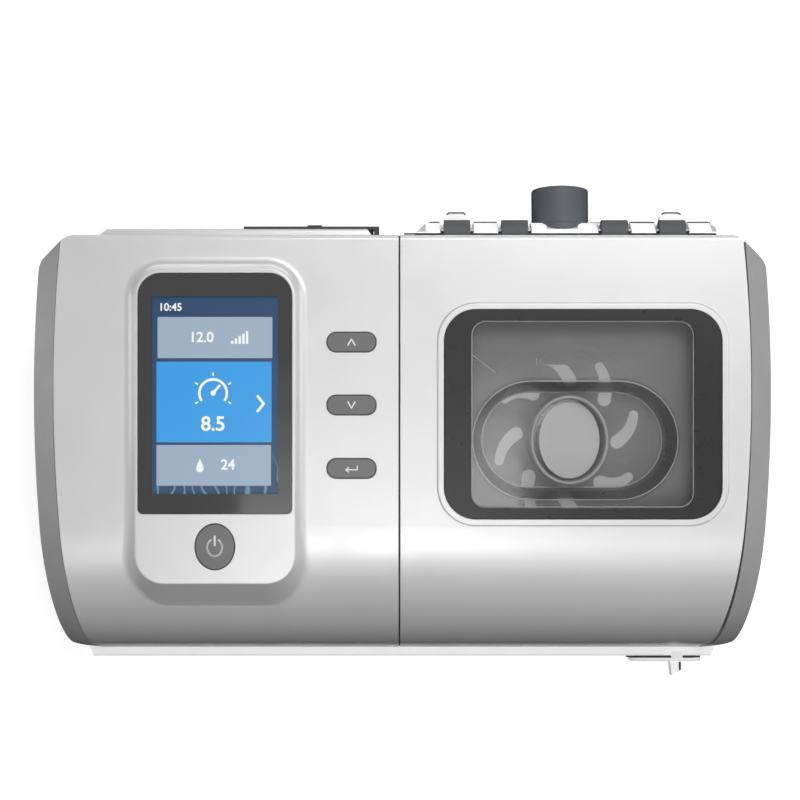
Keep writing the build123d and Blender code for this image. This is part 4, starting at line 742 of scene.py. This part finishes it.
# a painted highlight on the port's rim, and the screen inside it
PORT_RIM = (0.0147, 0.0168)  # half width and half length at the middle of the port's wall
PORT_HIGHLIGHT_LIFT = 0.0001
PORT_HIGHLIGHT_RADIUS = 0.00055
PORT_SCREEN = (0.0119, 0.0152)
PORT_SCREEN_THICKNESS = 0.0012
PORT_SCREEN_SHIFT = 0.0003
PORT_SCREEN_DROP = 0.0045    # under the port's top
port_highlight_line = [on_face(PORT_X + x, WELL_V + v, PORT_TOP + PORT_HIGHLIGHT_LIFT) for x, v in oval(*PORT_RIM)]
tube_along("port_rim_highlight", port_highlight_line, PORT_HIGHLIGHT_RADIUS, highlight_bead, "root", closed=True)
bm = bmesh.new()
plate(bm, oval(*PORT_SCREEN), PORT_SCREEN_THICKNESS)
piece_from("port_screen", bm, port_mesh, "root",
           face_matrix(PORT_X + PORT_SCREEN_SHIFT, WELL_V, PORT_TOP - PORT_SCREEN_DROP))


# ---------------------------------------------------------------- window: a painted highlight on the pane's edge, and scratches
WINDOW_X = 0.0683
WINDOW_V = -0.0054
VIEW_WIDTH = 0.0848
VIEW_LENGTH = 0.0712
VIEW_CORNER = 0.0057
PANE_TOP = -0.0015
PANE_HIGHLIGHT_INSET = 0.0004
PANE_HIGHLIGHT_TOP = PANE_TOP + 0.00012
PANE_HIGHLIGHT_RADIUS = 0.00022
SCRATCH_TOP = PANE_TOP + 0.00002
# painted highlight along the pane's edge, just inside the window's opening
edge_outline = rounded(VIEW_WIDTH - 2 * PANE_HIGHLIGHT_INSET, VIEW_LENGTH - 2 * PANE_HIGHLIGHT_INSET,
                       VIEW_CORNER - PANE_HIGHLIGHT_INSET)
pane_highlight_line = [on_face(WINDOW_X + x, WINDOW_V + v, PANE_HIGHLIGHT_TOP) for x, v in edge_outline]
tube_along("pane_edge_highlight", pane_highlight_line, PANE_HIGHLIGHT_RADIUS, highlight_bead, "lid", closed=True)


def scratch(name, points, radius):
    """A fine scratch in the pane."""
    tube_along(name, [on_face(x, v, SCRATCH_TOP) for x, v in points], radius, ink,
               "lid", resolution=1)


scratch("pane_scratch_long", [(0.0259, 0.0176), (0.0300, 0.0145), (0.0351, 0.0104)], 0.00006)
scratch("pane_scratch_short", [(0.0508, 0.0158), (0.0511, 0.0131)], 0.00005)
scratch("pane_scratch_tiny", [(0.0524, 0.0157), (0.0525, 0.0136)], 0.00004)


# ---------------------------------------------------------------- lock
LOCK_X = 0.1099
LOCK_Z = 0.0069
LOCK_HALF = 0.0151
LOCK_RADIUS = 0.0045
BEZEL_BACK_Y = -0.0873
BEZEL_FRONT_Y = -0.0896
GAP_RADIUS = LOCK_RADIUS + 0.0001
GAP_Y = BEZEL_BACK_Y - 0.0004
GAP_SWEEP = 110              # degrees at each end of the bezel
GAP_STEPS = 12
GAP_HALF_WIDTH = 0.00048
TAB_RIGHT = 0.11685
TAB_TOP = 0.0099

# painted shadow: a dark line in the gap round the upper half of the bezel, from its left end over the
# top to its right end
gap_line = []
for side, first in ((-1, 200), (1, 90)):
    for step in range(GAP_STEPS + 1):
        a = radians(first - GAP_SWEEP * step / GAP_STEPS)
        gap_line.append((LOCK_X + side * (LOCK_HALF - LOCK_RADIUS) + GAP_RADIUS * cos(a), GAP_Y,
                         LOCK_Z + GAP_RADIUS * sin(a)))
tube_along("lock_bezel_shadow", gap_line, GAP_HALF_WIDTH, seal_and_shadow, "root")

# painted shade: a dark strip along the right edge of the tab's top
SHADE_BACK_Y = BEZEL_FRONT_Y - 0.0003
SHADE_RIGHT = TAB_RIGHT + 0.00003
SHADE_LEFT = TAB_RIGHT - 0.0009
SHADE_RIGHT_FRONT_Y = -0.0932
SHADE_LEFT_FRONT_Y = -0.0936
SHADE_THICKNESS = 0.00006
bm = bmesh.new()
plate(bm, [(SHADE_RIGHT, SHADE_BACK_Y), (SHADE_RIGHT, SHADE_RIGHT_FRONT_Y),
           (SHADE_LEFT, SHADE_LEFT_FRONT_Y), (SHADE_LEFT, SHADE_BACK_Y)], SHADE_THICKNESS)
piece_from("lock_tab_shade", bm, seal_and_shadow, "lock", Matrix.Translation((0, 0, TAB_TOP)))


# ---------------------------------------------------------------- painted shadow lines and painted light on the case and the ledge, and the seal between the modules
def shadow_line_across(name, left, right, y, z, radius):
    """A painted shadow line from left to right."""
    tube_along(name, [(left, y, z), (right, y, z)], radius, seal_and_shadow, "root")


# painted shadow lines on the ledge's back edge: left end, right end and radius
LEDGE_EDGE_Y = 0.0817
LEDGE_EDGE_Z = 0.0875
LEDGE_SHADOWS = ((0.0494, 0.0505, 0.0002), (0.0716, 0.0796, 0.0002), (0.0876, 0.0965, 0.00035),
               (0.1097, 0.1180, 0.0003))
for count, (left, right, radius) in enumerate(LEDGE_SHADOWS, start=1):
    shadow_line_across(f"ledge_seam_{count}", left, right, LEDGE_EDGE_Y, LEDGE_EDGE_Z, radius)

# dark seal in the joint between the two modules, just under the surface from back to foot
SPLIT_X = -0.00115
SEAL_DEPTH = 0.0006
SEAL_RADIUS = 0.00032
SEAL_STEPS = 24
FACE_BACK = 0.0622
FACE_FRONT = -0.048
ROLL_RADIUS = 0.051
FRONT_LEAN = radians(6.0)
FOOT_Z = 0.0128
roll_centre = on_face(SPLIT_X, FACE_FRONT, -ROLL_RADIUS)
seal_line = [on_face(SPLIT_X, FACE_BACK, -SEAL_DEPTH)]
for step in range(SEAL_STEPS + 1):
    tilt = SLOPE + (pi / 2 - SLOPE - FRONT_LEAN) * step / SEAL_STEPS
    seal_line.append(roll_centre + Vector((0, -sin(tilt), cos(tilt))) * (ROLL_RADIUS - SEAL_DEPTH))
down_front = Vector((0, -sin(FRONT_LEAN), -cos(FRONT_LEAN)))
front_length = (seal_line[-1].z - FOOT_Z) / cos(FRONT_LEAN)
seal_line.append(seal_line[-1] + down_front * front_length)
tube_along("module_seal", seal_line, SEAL_RADIUS, seal_and_shadow, "root")

# painted shadow line behind the lid
LID_LEFT = 0.0006
LID_RIGHT = 0.1190
LID_GAP_Y = 0.07645
LID_GAP_Z = 0.0927
LID_GAP_RADIUS = 0.00032
shadow_line_across("lid_gap_shadow", LID_LEFT, LID_RIGHT, LID_GAP_Y, LID_GAP_Z, LID_GAP_RADIUS)

# painted light: white plates that glow faintly on the sloping part of the ledge, between the hinge
# slots, to make it lighter than the lamps leave it: left, right and foot
SLOPE_LOW = (0.08156, 0.08768)
SLOPE_HIGH = (0.07740, 0.09262)
TUBE_TOP = (0.07860, 0.09120)
LIGHT_PLATES = ((0.0088, 0.0143, SLOPE_LOW), (0.0272, 0.0363, SLOPE_LOW), (0.0492, 0.0550, SLOPE_LOW),
           (0.0550, 0.0670, TUBE_TOP), (0.0670, 0.0743, SLOPE_LOW), (0.0872, 0.0963, SLOPE_LOW),
           (0.1092, 0.1176, SLOPE_LOW))
LIGHT_PLATE_OUT = Vector((0, 0.76, 0.65))
LIGHT_PLATE_SINK = 0.00008
LIGHT_PLATE_RISE = 0.00004
bm = bmesh.new()
for left, right, foot in LIGHT_PLATES:
    corners = ((left, *foot), (right, *foot), (right, *SLOPE_HIGH), (left, *SLOPE_HIGH))
    slab(bm, [Vector(corner) - LIGHT_PLATE_OUT * LIGHT_PLATE_SINK for corner in corners],
         [Vector(corner) + LIGHT_PLATE_OUT * LIGHT_PLATE_RISE for corner in corners])
piece_from("ledge_painted_light", bm, looks["plinth"], "root")

# painted shadow line round the back of each catch
CATCH_XS = {"left": 0.02075, "right": 0.10395}
CATCH_Z = 0.0815
CATCH_LINE = ((-0.0037, 0.0861), (-0.0027, 0.0867), (0.0027, 0.0867), (0.0037, 0.0861))
CATCH_SHADOW_RADIUS = 0.00034
for side, middle in CATCH_XS.items():
    tube_along(f"catch_seam_{side}", [(middle + x, y, CATCH_Z) for x, y in CATCH_LINE],
               CATCH_SHADOW_RADIUS, seal_and_shadow, "root")


# ---------------------------------------------------------------- floor, light and air
FLOOR_REACH = 30.0           # far enough for the floor's edge to stay unseen in low views

bm = bmesh.new()
bmesh.ops.create_grid(bm, x_segments=1, y_segments=1, size=FLOOR_REACH)
floor_mesh = bpy.data.meshes.new("floor")
bm.to_mesh(floor_mesh)
bm.free()
floor = bpy.data.objects.new("floor", floor_mesh)
scene.collection.objects.link(floor)
paper = Look("floor_paper", Roughness=0.9, Emission_Color=rgb(250), Emission_Strength=0.55)
paper.colour(rgb(243), 0.004, 3.0)
paper.bump(paper.noise(900.0), 0.00001)
floor_mesh.materials.append(paper.material)
floor.visible_diffuse = False
floor.visible_glossy = False


def softbox(name, place, target, width, length, radiance):
    """An area light whose surface has the given radiance."""
    data = bpy.data.lights.new(name, "AREA")
    data.shape = "RECTANGLE"
    data.size = width
    data.size_y = length
    data.energy = radiance * pi * width * length
    made = bpy.data.objects.new(name, data)
    scene.collection.objects.link(made)
    made.location = place
    aim = Vector(target) - Vector(place)
    made.rotation_euler = aim.to_track_quat("-Z", "Y").to_euler()


# a bright card over the front half, which fades out up the slope: name, front, back, radiance
CARD_X = -0.015
CARD_WIDTH = 0.212
CARD_HEIGHT = 0.65
CARD_STEPS = (("card", -0.399, -0.074, 3.1), ("card_step_1", -0.074, -0.044, 2.1),
              ("card_step_2", -0.044, -0.014, 1.2), ("card_step_3", -0.014, 0.020, 0.5))
for name, front, back, radiance in CARD_STEPS:
    v = (front + back) / 2
    softbox(name, on_face(CARD_X, v, CARD_HEIGHT), (CARD_X, v, 0), CARD_WIDTH, back - front, radiance)

# name, place, target, width, length, radiance
SOFTBOXES = (("top", (0.16, 0.30, 0.95), (0.08, 0, 0.08), 0.5, 0.3, 6.4),
             ("front_high", (0.10, -0.40, 0.80), (0.03, -0.05, 0.08), 0.8, 0.25, 1.3),
             ("right", (0.52, 0.08, 0.42), (0.08, 0, 0.08), 0.30, 0.50, 1.6),
             ("left", (-0.60, 0.05, 0.11), (-0.1, 0, 0.06), 0.14, 0.60, 1.8),
             ("front", (0, -0.62, 0.72), (0, 0, 0.06), 1.2, 0.24, 0.68),
             ("back", (0, 0.62, 0.10), (0, 0, 0.085), 1.0, 0.12, 4.0))
for row in SOFTBOXES:
    softbox(*row)

# the air is dark below and white above
AIR_STRENGTH = 0.25
AIR_LOW = (0.06, 0.06, 0.06, 1)
AIR_HIGH = (1.0, 1.0, 1.0, 1)
world = bpy.data.worlds.new("studio")
scene.world = world
world.use_nodes = True
sky = world.node_tree
background = sky.nodes["Background"]
direction = sky.nodes.new("ShaderNodeTexCoord")
split = sky.nodes.new("ShaderNodeSeparateXYZ")
grade = sky.nodes.new("ShaderNodeValToRGB")
for stop, colour in zip(grade.color_ramp.elements, (AIR_LOW, AIR_HIGH)):
    stop.color = colour
sky.links.new(direction.outputs["Generated"], split.inputs[0])
sky.links.new(split.outputs["Z"], grade.inputs["Fac"])
sky.links.new(grade.outputs["Color"], background.inputs["Color"])
background.inputs["Strength"].default_value = AIR_STRENGTH
